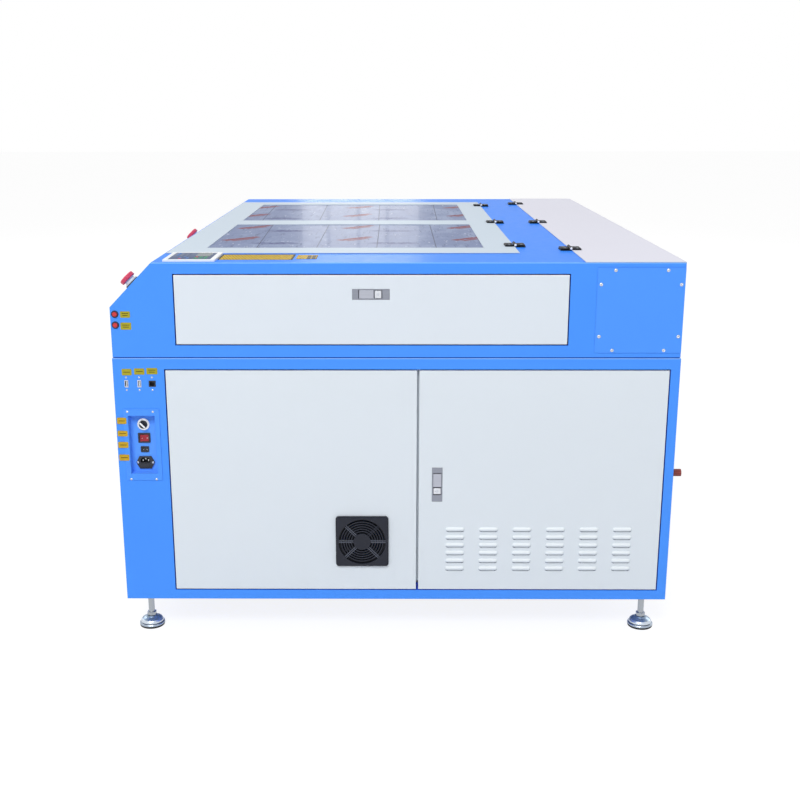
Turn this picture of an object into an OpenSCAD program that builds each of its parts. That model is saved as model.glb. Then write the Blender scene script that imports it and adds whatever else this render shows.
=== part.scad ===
// Carbon dioxide laser engraving machine: a sheet-steel cabinet with a hinged
// windowed lid, a hinged cover over the laser tube, a drop-down end door and a
// gantry that carries the cutting head over a bed of knife slats.
// Millimetres. +Z is up, the operator stands at -Y, and the right-hand end faces +X.
// Places on a face are "across" from the front corner and "up" from the lower edge.

/* [Cabinet] */
// Length of the machine, left to right
body_l = 1860; // [1600:10:2240]
// Depth of the machine, front to back
body_d = 1400; // [1300:10:1700]
// Height of the lower cabinet
cabinet_h = 642; // [600:2:780]
// Height of the upper housing
housing_h = 236; // [226:2:290]
// Gap between the floor and the cabinet
foot_gap = 96; // [88:1:120]
// Thickness of the cabinet's steel sheet
sheet = 2; // [1.5:0.25:2.5]
// Step of the upper housing in from the cabinet, each side
seam_step = 1.5; // [0.5:0.5:3]
// Width of the folded flange where the two halves meet
seam_flange = 20; // [12:1:23]
// Horizontal run of the sloped front
slope_run = 106; // [90:1:130]
// Vertical rise of the sloped front
slope_rise = 109; // [90:1:140]

/* [Doors and panels] */
// Width of the cabinet's corner stile at the front of each end
front_stile = 127; // [124:1:160]
// Width of the cabinet's corner stile at the rear of each end
rear_stile = 23; // [20:1:40]
// Width of the corner stiles of the front and rear faces
side_stile = 60; // [50:1:90]
// Height of the cabinet's rail below the doors
low_rail = 25; // [22:0.5:40]
// Height of the cabinet's rail above the doors
high_rail = 28; // [26:0.5:45]
// Across of the joint between the fan panel and the service door
split_a = 755; // [720:5:800]
// Gap round a door or panel
door_gap = 3; // [2:0.1:3.6]
// Thickness of door and panel sheet
pan_t = 1.5; // [1:0.25:2]
// Depth of a door's folded edge
door_depth = 16; // [14:0.5:17]
// Depth of the rebate that a panel sits in
rebate_d = 20; // [19:0.5:24]
// Width of the rebate's lip behind a panel
rebate_lip = 12; // [8:1:16]
// Across of the end door's opening
end_door_a = 158; // [150:1:200]
// Distance from the end door's opening to the rear face
end_door_rear = 278; // [270:1:320]
// Height of the end door's opening above the seam
end_door_up = 32; // [28:1:40]
// Height of the end door's opening
end_door_h = 176.5; // [160:0.5:180]
// Radius of the door hinge pins
pin_r = 2; // [1.5:0.25:2]
// Distance of a door's hinge axis from its edge and face
pin_inset = 4; // [3.5:0.1:4]
// Running clearance of pins, shafts and stems, on the radius
run_fit = 0.05; // [0.02:0.01:0.1]

/* [Lid and rear cover] */
// Distance of the lid's front edge from the front face
lid_front = 112; // [108:1:140]
// Width of the housing's strip beside the lid, each end
lid_side = 170; // [160:2:220]
// Width of the strip between the lid and the rear cover
strip_w = 141; // [120:1:180]
// Depth of the rear cover
cover_w = 243; // [220:1:280]
// Overlap of a lid on the edge of its opening
lid_lap = 18; // [12:1:24]
// Gap under a closed lid
seat_gap = 0.3; // [0.2:0.1:0.6]
// Thickness of the lid sheet
lid_t = 1.5; // [1:0.25:2]
// Depth of the lid's folded stiffening flange
lid_flange = 16; // [10:1:18]
// Width of the lid's border in front of the windows
window_front = 88; // [70:1:110]
// Width of the lid's border behind the windows
window_rear = 84; // [70:1:110]
// Width of the lid's border beside the windows
window_side = 105; // [90:1:130]
// Width of the bar between the two windows
window_bar = 124; // [80:2:160]
// Thickness of the acrylic windows
window_t = 4; // [3:0.5:6]
// Lap of a window under the lid sheet
window_lap = 15; // [10:1:20]
// Distance of the outer lid hinges from the middle
lid_hinge_x = 608; // [500:2:640]
// Distance of the outer cover hinges from the middle
cover_hinge_x = 682; // [560:2:720]

/* [Top hinges] */
// Length of a top hinge
leaf_l = 50; // [40:1:70]
// Reach of a hinge leaf from the pin
leaf_w = 27; // [22:1:34]
// Thickness of a hinge leaf
leaf_t = 2; // [1.5:0.25:3]
// Radius of a hinge knuckle
knuckle_r = 4; // [3.5:0.25:5]
// Radius of a hinge pin
hinge_pin_r = 2; // [1.5:0.25:2.5]

/* [Plane locks] */
// Length of a lock
lock_l = 91; // [88:1:100]
// Width of a lock
lock_w = 26.5; // [26:0.5:30]
// Depth of the lock's face below the door
lock_sink = 0.8; // [0.4:0.1:1.2]
// Length of the lock's paddle
paddle_l = 35; // [30:1:38]
// Length of the lock's button
lock_button_l = 15.5; // [12:0.5:17]
// Across of the end door's lock
end_lock_a = 639; // [560:1:720]
// Height of the end door's lock above the seam
end_lock_up = 158.5; // [140:0.5:165]
// Across of the service door's lock
service_lock_a = 804.5; // [800:0.5:840]
// Height of the service door's lock
service_lock_up = 314; // [250:1:400]

/* [Louvres and fan] */
// Columns of louvres
louvre_columns = 6; // [3:1:6]
// Rows of louvres
louvre_rows = 6; // [3:1:7]
// Across of the first louvre's middle
louvre_a = 851.5; // [840:0.5:880]
// Height of the lowest louvre's middle
louvre_up = 86; // [70:1:120]
// Spacing of louvre columns
louvre_pitch_a = 85.5; // [70:0.5:90]
// Spacing of louvre rows
louvre_pitch_up = 21.4; // [18:0.2:26]
// Length of a louvre
louvre_l = 51; // [40:1:60]
// Radius of the louvre's curved face
louvre_r = 7.4; // [6.5:0.1:8.5]
// Height of a louvre above the door
louvre_rise = 4; // [3:0.25:5]
// Across of the fan
fan_a = 613.5; // [560:0.5:650]
// Height of the fan's middle
fan_up = 162; // [130:1:260]
// Side of the fan guard
guard_w = 135; // [124:1:140]
// Depth of the fan guard
guard_t = 9; // [6:0.5:12]
// Side of the fan
fan_w = 120; // [110:1:122]
// Depth of the fan
fan_t = 38; // [25:1:40]

/* [Controls] */
// Across of the controls on the end stile
control_a = 64; // [60:1:66]
// Height of the power tray's middle
tray_up = 419; // [380:1:430]
// Width of the power tray's plate
tray_w = 91; // [88:1:96]
// Height of the power tray's plate
tray_h = 187; // [180:1:200]
// Width of the power tray's recess
recess_w = 66.5; // [60:0.5:70]
// Height of the power tray's recess
recess_h = 152; // [150:1:156]
// Depth of the power tray's recess
recess_d = 20; // [16:1:22]
// Across of the upper and lower push buttons
button_a = 13.5; // [13:0.5:20]
// Heights of the push buttons above the seam
button_ups = [110, 83];
// Height of the data sockets
port_up = 577.5; // [560:0.5:580]
// Spacing of the data sockets
port_pitch = 32; // [28:0.5:34]
// Distances of the two emergency stops from the middle
estop_x = [770, -85];
// Places of the emergency stops up the slope
estop_s = [41, 64];
// Radius of an emergency stop's cap
estop_r = 21; // [18:0.5:24]
// Length of the control panel
keypad_l = 146; // [120:1:148]
// Depth of the control panel
keypad_w = 128; // [110:1:140]
// Across of the control panel's front edge
keypad_a = 132; // [125:1:150]

/* [Motion] */
// Distance of the side rails from the machine's ends
rail_side = 120; // [112:1:130]
// Height of the slats' upper edges above the seam
bed_up = 34; // [30:1:36]
// Spacing of the knife slats
slat_pitch = 60; // [50:1:90]
// Thickness of a knife slat
slat_t = 3; // [2:0.5:4]
// Height of the laser beam above the seam
beam_up = 152; // [150:0.5:156]
// Radius of the laser tube
tube_r = 40; // [30:1:42]
// Length of the laser tube
tube_l = 1560; // [1300:10:1600]
// Radius of the drive pulleys at the belt
pulley_r = 16; // [12:0.5:18]
// Radius of the drive shaft
shaft_r = 7.5; // [6:0.5:8]

/* [Rear and feet] */
// Outer radius of the exhaust collar
collar_r = 75; // [50:1:80]
// Reach of the exhaust collar behind the machine
collar_reach = 45; // [30:1:60]
// Distance of the exhaust collar from the middle
collar_x = 430; // [400:5:470]
// Height of the exhaust collar's middle
collar_up = 430; // [400:1:450]
// Distance of the feet from the cabinet's sides
foot_inset = 50; // [45:1:55]
// Radius of a foot's threaded stem
stem_r = 8; // [6:0.5:8]
// Radius of a foot's pad
pad_r = 33; // [28:1:38]

/* [Hidden] */
$fn = 48;
eps = 1; // overshoot of a cut past a face

blue = "#4f92ff";
pale = "#dde5ec";
lilac = "#e2e0ea";
black = "#26282c";
steel = "#b9bdc4";

x_end = body_l / 2;
y_front = -(body_d + collar_reach) / 2;
y_rear = y_front + body_d;
z_base = foot_gap;
z_seam = z_base + cabinet_h;
z_top = z_seam + housing_h;
slope_angle = atan(slope_rise / slope_run);
slope_foot = housing_h - slope_rise; // height of the slope's lower edge above the seam

zone_a1 = body_d - rear_stile;
zone_u1 = cabinet_h - high_rail;
door_h = zone_u1 - low_rail - 2 * door_gap;
split_gap = 6; // width of the joint between the fan panel and the service door
fan_panel_w = split_a - split_gap / 2 - front_stile - door_gap;
service_a = split_a + split_gap / 2;
service_w = zone_a1 - door_gap - service_a;
face_l = body_l - 2 * side_stile; // opening of the front and rear faces
half_pan_w = face_l / 2 - door_gap - split_gap / 2;
end_door_w = body_d - end_door_rear - end_door_a - 2 * door_gap;
end_pan_h = end_door_h - 2 * door_gap;

cover_a = body_d - cover_w;
lid_rear = cover_a - strip_w;
lid_l = body_l - 2 * lid_side;
lid_d = lid_rear - lid_front;
top_axis = seat_gap + lid_t + knuckle_r + 0.3; // hinge axis above the housing
lid_axis_a = lid_rear + 2;
window_l = (lid_l - 2 * window_side - window_bar) / 2;
window_d = lid_d - window_front - window_rear;

frame_inset = 25; // space between the cabinet's faces and the base frame
ring_w = 50;
post_w = 40;
frame_wall = 3;

rail_x = x_end - rail_side;
rail_a0 = 60;
rail_w = 20;
rail_top = z_seam + 103;
shaft_a = lid_rear + 69;
shaft_z = z_seam + 62;
gantry_a = lid_rear + 4; // middle of the gantry at the rear of its travel
beam_w = 60;
beam_h = 40;
beam_z = rail_top + 6;
belt_x = rail_x + 42;
belt_w = 15;
idler_a = 84;

function ya(a) = y_front + a;

// Frames on the cabinet's faces: x across, y up, z outwards
module on_end() translate([x_end, y_front, z_base]) rotate([90, 0, 90]) children();
module on_upper_end() translate([x_end - seam_step, y_front, z_seam]) rotate([90, 0, 90]) children();
module on_front() translate([0, y_front, z_base]) rotate([90, 0, 0]) children();
module on_rear() translate([0, y_rear, z_base]) rotate([90, 0, 180]) children();
module on_left() mirror([1, 0, 0]) children();
module on_slope(x, s)
    translate([x, y_front + seam_step, z_seam + slope_foot])
        rotate([slope_angle, 0, 0]) translate([0, s, 0]) children();
module both_ends() {
    children();
    mirror([1, 0, 0]) children();
}

module tube(length, width, wall) {
    difference() {
        cube([length, width, width]);
        translate([-eps, wall, wall]) cube([length + 2 * eps, width - 2 * wall, width - 2 * wall]);
    }
}

module rounded_plate(w, h, t, r) {
    linear_extrude(t) {
        translate([r, 0]) square([w - 2 * r, h]);
        translate([0, r]) square([w, h - 2 * r]);
        for (x = [r, w - r], y = [r, h - r]) translate([x, y]) circle(r);
    }
}

// A folded sheet pan, its face at z = 0 and its edges turned back
module pan(w, h, depth) {
    difference() {
        translate([0, 0, -depth]) cube([w, h, depth]);
        translate([pan_t, pan_t, -depth - eps]) cube([w - 2 * pan_t, h - 2 * pan_t, depth - pan_t + eps]);
    }
}

// The folded rebate behind an opening in the cabinet's sheet
module rebate(w, h) {
    difference() {
        translate([-sheet, -sheet, -rebate_d - sheet]) cube([w + 2 * sheet, h + 2 * sheet, rebate_d]);
        translate([0, 0, -rebate_d]) cube([w, h, rebate_d + eps]);
        translate([rebate_lip, rebate_lip, -rebate_d - sheet - eps])
            cube([w - 2 * rebate_lip, h - 2 * rebate_lip, sheet + 2 * eps]);
    }
}

module opening(w, h) translate([0, 0, -sheet - eps]) cube([w, h, sheet + 2 * eps]);

// ---- Cabinet

module door_pin_holes(up0, up1) {
    for (u = [up0, up1])
        translate([0, u, -pin_inset]) rotate([-90, 0, 0])
            cylinder(r = pin_r + run_fit, h = sheet + 2 * eps, center = true);
}

module end_zone() {
    translate([front_stile, low_rail, 0]) children();
}

module lower_cabinet() color(blue) {
    difference() {
        union() {
            difference() {
                translate([-x_end, y_front, z_base]) cube([body_l, body_d, cabinet_h]);
                translate([-x_end + sheet, y_front + sheet, z_base + sheet])
                    cube([body_l - 2 * sheet, body_d - 2 * sheet, cabinet_h - 2 * sheet]);
                translate([-x_end + seam_flange, y_front + seam_flange, z_seam - sheet - eps])
                    cube([body_l - 2 * seam_flange, body_d - 2 * seam_flange, sheet + 2 * eps]);
            }
            both_ends() on_end() end_zone() rebate(zone_a1 - front_stile, zone_u1 - low_rail);
            on_front() translate([-face_l / 2, low_rail, 0]) rebate(face_l, zone_u1 - low_rail);
            on_rear() translate([-face_l / 2, low_rail, 0]) rebate(face_l, zone_u1 - low_rail);
        }
        both_ends() on_end() end_zone() opening(zone_a1 - front_stile, zone_u1 - low_rail);
        on_front() translate([-face_l / 2, low_rail, 0]) opening(face_l, zone_u1 - low_rail);
        on_rear() translate([-face_l / 2, low_rail, 0]) opening(face_l, zone_u1 - low_rail);
        on_end() {
            translate([service_a + service_w - pin_inset, 0, 0])
                door_pin_holes(low_rail - sheet / 2, zone_u1 + sheet / 2);
            translate([control_a - recess_w / 2 - 3, tray_up - recess_h / 2 - 3, 0])
                opening(recess_w + 6, recess_h + 6);
            for (i = [-1, 0]) port_place(i) translate([-usb_w / 2, -usb_h / 2, 0])
                translate([-port_fit, -port_fit, 0]) opening(usb_w + 2 * port_fit, usb_h + 2 * port_fit);
            port_place(1) translate([-jack_w / 2, -jack_h / 2, 0])
                translate([-port_fit, -port_fit, 0]) opening(jack_w + 2 * port_fit, jack_h + 2 * port_fit);
        }
        on_front() translate([face_l / 2 - door_gap - pin_inset, 0, 0])
            door_pin_holes(low_rail - sheet / 2, zone_u1 + sheet / 2);
        for (c = hose_places) on_rear() translate([c[0], c[1], -sheet - eps])
            cylinder(r = hose_r + run_fit, h = sheet + 2 * eps);
        for (x = [-foot_x, foot_x], a = [foot_inset, foot_rear_a])
            translate([x, ya(a), z_base - eps]) cylinder(r = stem_r + 2, h = sheet + 2 * eps);
    }
}

module base_frame() color(steel) {
    fx = x_end - frame_inset;
    fl = 2 * fx;
    fd = body_d - 2 * frame_inset;
    z0 = z_base + sheet;
    z1 = z_seam - post_w;
    post_h = z1 - z0 - ring_w;
    difference() {
        union() {
            for (a = [frame_inset, body_d - frame_inset - ring_w])
                translate([-fx, ya(a), z0]) tube(fl, ring_w, frame_wall);
            for (x = [-fx + ring_w, ring_w / 2, fx])
                translate([x, ya(frame_inset + ring_w), z0]) rotate([0, 0, 90])
                    tube(fd - 2 * ring_w, ring_w, frame_wall);
            for (x = [-fx, fx - post_w], a = [post_a_front, body_d - frame_inset - post_w])
                translate([x, ya(a), z0 + ring_w]) rotate([0, -90, 0]) translate([0, 0, -post_w])
                    tube(post_h, post_w, frame_wall);
            for (a = [frame_inset, body_d - frame_inset - post_w])
                translate([-fx, ya(a), z1]) tube(fl, post_w, frame_wall);
            for (x = [-fx + post_w, fx, -bearer_x + post_w / 2, bearer_x + post_w / 2])
                translate([x, ya(frame_inset + post_w), z1]) rotate([0, 0, 90])
                    tube(fd - 2 * post_w, post_w, frame_wall);
            // cross tube under the drive shaft
            translate([-bearer_x + post_w / 2, ya(shaft_a) - post_w / 2, z1])
                tube(2 * bearer_x - post_w, post_w, frame_wall);
            for (x = [-foot_x, foot_x], a = [foot_inset, foot_rear_a])
                translate([x, ya(a), z0]) cylinder(r = stem_r + 8, h = ring_w - frame_wall);
        }
        for (x = [-foot_x, foot_x], a = [foot_inset, foot_rear_a])
            translate([x, ya(a), z0 - eps]) cylinder(r = stem_r + run_fit, h = ring_w - frame_wall);
    }
}
post_a_front = 114; // across of the front posts, which stand clear of the power tray
bearer_x = x_end - 140; // distance of the tubes that carry the rails and the tray from the middle

// Inner outline of the housing's section, one sheet inside the outer one
module housing_section(t) {
    m = slope_rise / slope_run;
    foot = slope_foot + t * m - t * sqrt(1 + m * m);
    head = (housing_h - t - slope_foot + t * sqrt(1 + m * m)) / m;
    d = body_d - 2 * seam_step;
    polygon([[t, t == 0 ? 0 : t], [t, foot], [head, housing_h - t], [d - t, housing_h - t],
             [d - t, t == 0 ? 0 : t]]);
}

module housing_prism(t, half)
    translate([-half, y_front + seam_step, z_seam]) rotate([90, 0, 90])
        linear_extrude(2 * half) housing_section(t);

tube_plate_a = body_d - 214; // front edge of the plates that close the tube bay
tube_plate_h = 210;
tube_plate_up = 14;
wall_a = lid_rear + 121; // partition between the bed and the tube bay

module upper_housing() color(blue) {
    half = x_end - seam_step;
    lid_open_x = lid_l / 2 - lid_lap;
    difference() {
        union() {
            difference() {
                housing_prism(0, half);
                housing_prism(sheet, half - sheet);
                translate([-half + seam_flange, ya(seam_step + seam_flange), z_seam - eps])
                    cube([2 * (half - seam_flange), body_d - 2 * (seam_step + seam_flange), sheet + 2 * eps]);
            }
            both_ends() on_upper_end() translate([end_door_a, end_door_up, 0])
                rebate(end_door_w + 2 * door_gap, end_door_h);
            // partition in front of the laser tube
            translate([-half + sheet, ya(wall_a), z_seam + sheet])
                cube([2 * (half - sheet), sheet, housing_h - 2 * sheet]);
            // folded edge round the lid's opening
            translate([-lid_open_x - sheet, ya(lid_front + lid_lap) - sheet, z_top - lid_fold])
                cube([2 * (lid_open_x + sheet), lid_d - 2 * lid_lap + 2 * sheet, lid_fold - sheet]);
        }
        // groove above the joint between the two halves
        difference() {
            translate([-half - eps, y_front, z_seam - eps]) cube([2 * (half + eps), body_d, groove_h + eps]);
            translate([-half + groove_d, ya(seam_step + groove_d), z_seam - 2 * eps])
                cube([2 * (half - groove_d), body_d - 2 * (seam_step + groove_d), groove_h + 3 * eps]);
        }
        // lid opening
        translate([-lid_open_x, ya(lid_front + lid_lap), z_top - lid_fold - eps])
            cube([2 * lid_open_x, lid_d - 2 * lid_lap, lid_fold + 2 * eps]);
        // opening of the tube bay
        translate([-half + bay_margin, ya(cover_a + bay_margin), z_top - sheet - eps])
            cube([2 * (half - bay_margin), cover_w - 2 * bay_margin - seam_step, sheet + 2 * eps]);
        both_ends() on_upper_end() {
            translate([end_door_a, end_door_up, 0]) opening(end_door_w + 2 * door_gap, end_door_h);
            translate([tube_plate_a + 20, tube_plate_up + 20, 0])
                opening(body_d - tube_plate_a - 46, tube_plate_h - 40);
        }
        // hinge pins of the end door
        on_upper_end()
            for (a = [end_door_a - sheet / 2, body_d - end_door_rear + sheet / 2])
                translate([a, end_door_up + door_gap + pin_inset, -pin_inset]) rotate([0, 90, 0])
                    cylinder(r = pin_r + run_fit, h = sheet + 2 * eps, center = true);
        // push buttons and emergency stops
        on_upper_end() for (u = button_ups) translate([button_a, u, -sheet - eps])
            cylinder(r = button_body_r + run_fit, h = sheet + 2 * eps);
        for (i = [0, 1]) on_slope(estop_x[i], estop_s[i]) translate([0, 0, -sheet - eps])
            cylinder(r = estop_barrel_r + run_fit, h = sheet + 2 * eps);
        // way through for the laser beam, at the left
        translate([-mirror_x, ya(wall_a) - eps, z_seam + beam_up]) rotate([-90, 0, 0])
            cylinder(r = 12, h = sheet + 2 * eps);
    }
    // studs that carry the gas struts
    for (x = [-1, 1]) translate([x * (lid_open_x + 0.01), ya(strut_a), z_top - strut_drop])
        rotate([0, -90 * x, 0]) cylinder(r = stud_r, h = lid_open_x - strut_x + strut_eye_t / 2 + 2);
}
lid_fold = 62; // depth of the fold round the lid's opening
groove_h = 2.5;
groove_d = 1.2;
bay_margin = 20;
button_body_r = 8;
estop_barrel_r = 11;
mirror_x = x_end - 70;

module fan_panel() color(pale) {
    on_end() translate([front_stile + door_gap, low_rail + door_gap, 0]) {
        difference() {
            pan(fan_panel_w, door_h, rebate_d);
            translate([fan_a - front_stile - door_gap, fan_up - low_rail - door_gap, -pan_t - eps])
                cylinder(r = fan_w / 2 - 4, h = pan_t + 2 * eps);
        }
        // strike flange behind the service door
        translate([fan_panel_w, strike_up, -rebate_d]) cube([strike_w, door_h - strike_up, pan_t]);
    }
}
strike_w = 16;
strike_up = 16; // height of the strike flange's lower end above the panel's edge

// Plain panels of the left end, front and rear, each in its rebate
module fixed_panels() color(pale) {
    on_left() on_end() translate([front_stile + door_gap, low_rail + door_gap, 0]) {
        pan(fan_panel_w, door_h, rebate_d);
        translate([fan_panel_w + split_gap, 0, 0]) pan(service_w, door_h, rebate_d);
    }
    on_left() on_upper_end() translate([end_door_a + door_gap, end_door_up + door_gap, 0])
        pan(end_door_w, end_pan_h, rebate_d);
    on_front() translate([-face_l / 2 + door_gap, low_rail + door_gap, 0]) {
        pan(half_pan_w, door_h, rebate_d);
        translate([half_pan_w, 0, -rebate_d]) cube([strike_w, door_h, pan_t]);
    }
    on_rear() difference() {
        for (x = [-face_l / 2 + door_gap, split_gap / 2])
            translate([x, low_rail + door_gap, 0]) pan(half_pan_w, door_h, rebate_d);
        translate([collar_x, collar_up, -pan_t - eps]) cylinder(r = collar_r + 0.3, h = pan_t + 2 * eps);
    }
}

// Screwed plates that close the ends of the tube bay
module tube_end_plates() color(blue)
    both_ends() on_upper_end() translate([tube_plate_a, tube_plate_up, 0]) {
        w = body_d - seam_step - tube_plate_a;
        rounded_plate(w, tube_plate_h, seam_step, 2);
        for (p = plate_screws, x = [p[0], w - p[0]], y = [p[1], tube_plate_h - p[1]])
            translate([x, y, seam_step]) pan_head(p[0] + x);
    }
plate_screws = [[43, 6.5], [9.5, 41]]; // places of the screws from the plate's corners

// Pan head of a screw, its cross recess turned
module pan_head(turn) rotate([0, 0, turn]) difference() {
    rotate_extrude($fn = 24)
        polygon([[0, -0.5], [4.6, -0.5], [4.6, 0.6], [4, 1.5], [2.6, 2.1], [0, 2.3]]);
    for (k = [0, 90]) rotate([0, 0, k]) translate([-2.4, -0.5, 1]) cube([4.8, 1, 2]);
}

// ---- Controls on the end stile

tray_a0 = control_a - tray_w / 2;
tray_u0 = tray_up - tray_h / 2;
tray_t = 1.5;
usb_w = 9;
usb_h = 18;
jack_w = 17;
jack_h = 15;
port_fit = 0.2;
port_depth = 16;
inlet_up = tray_up - 52; // middle of the mains inlet
small_rocker_up = tray_up - 17;
main_rocker_up = tray_up + 13;
selector_up = tray_up + 49;
rocker_lip = 2.5; // height of a rocker's frame above the tray

module port_place(i) translate([control_a + i * port_pitch, port_up, 0]) children();
module in_tray(up) on_end() translate([control_a, up, -recess_d]) children();

module power_tray() color(blue) on_end() difference() {
    union() {
        translate([tray_a0, tray_u0, 0]) rounded_plate(tray_w, tray_h, tray_t, 2);
        translate([control_a - recess_w / 2 - tray_t, tray_up - recess_h / 2 - tray_t, -recess_d - tray_t])
            cube([recess_w + 2 * tray_t, recess_h + 2 * tray_t, recess_d + tray_t]);
    }
    translate([control_a - recess_w / 2, tray_up - recess_h / 2, -recess_d])
        cube([recess_w, recess_h, recess_d + tray_t + eps]);
    translate([control_a, selector_up, -recess_d - tray_t - eps]) cylinder(r = 11.3, h = tray_t + 2 * eps);
    for (r = [[main_rocker_up, main_rocker], [small_rocker_up, small_rocker]])
        translate([control_a - r[1][2] / 2, r[0] - r[1][3] / 2, -recess_d - tray_t - eps])
            cube([r[1][2], r[1][3], tray_t + 2 * eps]);
    translate([control_a - inlet_body_w / 2, inlet_up - inlet_body_h / 2, -recess_d - tray_t - eps])
        cube([inlet_body_w, inlet_body_h, tray_t + 2 * eps]);
}
// Rockers: flange width and height, body width and height, body depth
main_rocker = [31, 25.5, 27, 21.6, 24];
small_rocker = [21, 15, 18.8, 12.8, 17];
inlet_body_w = 27.6;
inlet_body_h = 31;

// The frame of a rocker switch, hollow for the rocker
module rocker_frame(size) {
    difference() {
        union() {
            translate([-size[0] / 2, -size[1] / 2, 0]) rounded_plate(size[0], size[1], rocker_lip, 1.5);
            translate([-size[2] / 2 + 0.1, -size[3] / 2 + 0.1, -size[4]])
                cube([size[2] - 0.2, size[3] - 0.2, size[4]]);
        }
        translate([-size[2] / 2 + 2, -size[3] / 2 + 2, -size[4] + 4])
            cube([size[2] - 4, size[3] - 4, size[4] + rocker_lip]);
        translate([0, 0, -rocker_pin_drop]) rotate([90, 0, 0])
            cylinder(r = rocker_pin_r + run_fit, h = size[3] - 2.4, center = true);
    }
}
rocker_pin_drop = 1;
rocker_pin_r = 1.5;

// The rocker: two faces that meet in a shallow V over its pin
module rocker(size) {
    l = size[2] - 6.4;
    w = size[3] - 4.8;
    translate([0, 0, -rocker_pin_drop]) rotate([0, rocker_tilt, 0]) rotate([90, 0, 0]) {
        translate([0, 0, -w / 2]) linear_extrude(w)
            polygon([[-l / 2, 6.2], [0, 4.4], [l / 2, 6.2], [l / 2 - 1.5, 0], [2, -4], [-2, -4],
                     [-l / 2 + 1.5, 0]]);
        cylinder(r = rocker_pin_r, h = size[3] - 3, center = true);
    }
}
rocker_tilt = 9;

module panel_fittings() {
    // selector bezel
    color(steel) in_tray(selector_up) difference() {
        union() {
            cylinder(r = 15.3, h = 3);
            cylinder(r = 13.5, h = 5);
            translate([0, 0, -30]) cylinder(r = 11, h = 30);
        }
        translate([0, 0, -10]) cylinder(r = 10.5 + run_fit, h = 20);
        translate([0, 0, -32]) cylinder(r = selector_stem_r + run_fit, h = 24);
    }
    color(black) in_tray(main_rocker_up) rocker_frame(main_rocker);
    color(black) in_tray(small_rocker_up) rocker_frame(small_rocker);
    // two upright data sockets and a network jack
    color(steel) on_end() for (i = [-1, 0]) port_place(i) difference() {
        translate([-usb_w / 2, -usb_h / 2, -port_depth]) cube([usb_w, usb_h, port_depth + 1]);
        translate([-usb_w / 2 + 1.2, -usb_h / 2 + 1.6, -port_depth + 3])
            cube([usb_w - 2.4, usb_h - 3.2, port_depth]);
    }
    color("white") on_end() for (i = [-1, 0]) port_place(i)
        translate([-usb_w / 2 + 3.4, -usb_h / 2 + 3, -port_depth + 3]) cube([2, usb_h - 6, port_depth - 4]);
    color(black) on_end() port_place(1) difference() {
        translate([-jack_w / 2, -jack_h / 2, -port_depth]) cube([jack_w, jack_h, port_depth + 1]);
        translate([-jack_w / 2 + 2.5, -jack_h / 2 + 1.6, -port_depth + 3])
            cube([jack_w - 6.5, jack_h - 3.2, port_depth]);
        translate([jack_w / 2 - 6.5, -3, -port_depth + 3]) cube([4.5, 6, port_depth]);
    }
}
selector_stem_r = 4;

module selector_knob() color(black) in_tray(selector_up) {
    cylinder(r = 10.5, h = 7);
    translate([0, 0, -26]) cylinder(r = selector_stem_r, h = 27);
    rotate([0, 0, 135]) {
        intersection() {
            translate([-9.9, -3.2, 0]) cube([19.8, 6.4, 15]);
            cylinder(r = 9.9, h = 15);
        }
    }
}

module main_rocker() color("#d42a2a") in_tray(main_rocker_up) rocker(main_rocker);
module small_rocker() color(black) in_tray(small_rocker_up) rocker(small_rocker);

// Mains inlet: flange, socket with three pins, slot for the fuse drawer
module mains_inlet() color(black) in_tray(inlet_up) difference() {
    union() {
        linear_extrude(3)
            polygon([[-23.5, 0], [-15, 16.2], [15, 16.2], [23.5, 0], [15, -16.2], [-15, -16.2]]);
        translate([-inlet_body_w / 2 + 0.1, -inlet_body_h / 2 + 0.1, -28])
            cube([inlet_body_w - 0.2, inlet_body_h - 0.2, 28]);
    }
    difference() {
        translate([0, 0, -socket_d]) linear_extrude(socket_d + 3 + eps)
            polygon([[-12.4, -1], [-12.4, 8], [-7, 13.6], [7, 13.6], [12.4, 8], [12.4, -1]]);
        for (p = [[-7, 4.5], [7, 4.5], [0, 8.5]])
            translate([p[0] - 1, p[1] - 2, -socket_d - eps]) cube([2, 4, socket_d - 1]);
    }
    translate([-drawer_w / 2 - drawer_fit, -13.2 - drawer_fit, -18])
        cube([drawer_w + 2 * drawer_fit, drawer_h + 2 * drawer_fit, 30]);
}
socket_d = 15;
drawer_w = 24;
drawer_h = 9.6;
drawer_fit = 0.3;

module fuse_drawer() color(black) in_tray(inlet_up) {
    translate([-drawer_w / 2, -13.2, -17]) cube([drawer_w, drawer_h, 20.6]);
    translate([-5, -13.2 + 1.2, 3]) cube([10, 2.4, 1.8]);
}

module button_bezels() color(black) on_upper_end() for (u = button_ups) translate([button_a, u, 0])
    difference() {
        union() {
            rotate_extrude() polygon([[0, 0], [9.2, 0], [9.2, 1], [7.8, 2.8], [0, 2.8]]);
            translate([0, 0, -22]) cylinder(r = button_body_r, h = 22);
        }
        translate([0, 0, -6]) cylinder(r = 6.1, h = 12);
        translate([0, 0, -24]) cylinder(r = button_stem_r + run_fit, h = 24);
    }
button_stem_r = 3;

module push_button(u) color("#e0383c") on_upper_end() translate([button_a, u, 0]) {
    rotate_extrude() polygon([[0, -2], [5.8, -2], [5.8, 3.4], [5.2, 4.2], [3, 4.8], [0, 5]]);
    translate([0, 0, -20]) cylinder(r = button_stem_r, h = 19);
}

module estop_collars() color("#e6e6e2") for (i = [0, 1]) on_slope(estop_x[i], estop_s[i]) {
    rotate_extrude($fn = 64) difference() {
        union() {
            translate([0, -34]) square([estop_barrel_r, 34]);
            square([19, 11.5]);
            translate([0, 11.5]) square([18, 3]);
            translate([0, 14.5]) square([14.5, 7.5]);
        }
        translate([-eps, -36]) square([estop_stem_r + 0.3 + eps, 60]);
    }
}
estop_stem_r = 7;

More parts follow.
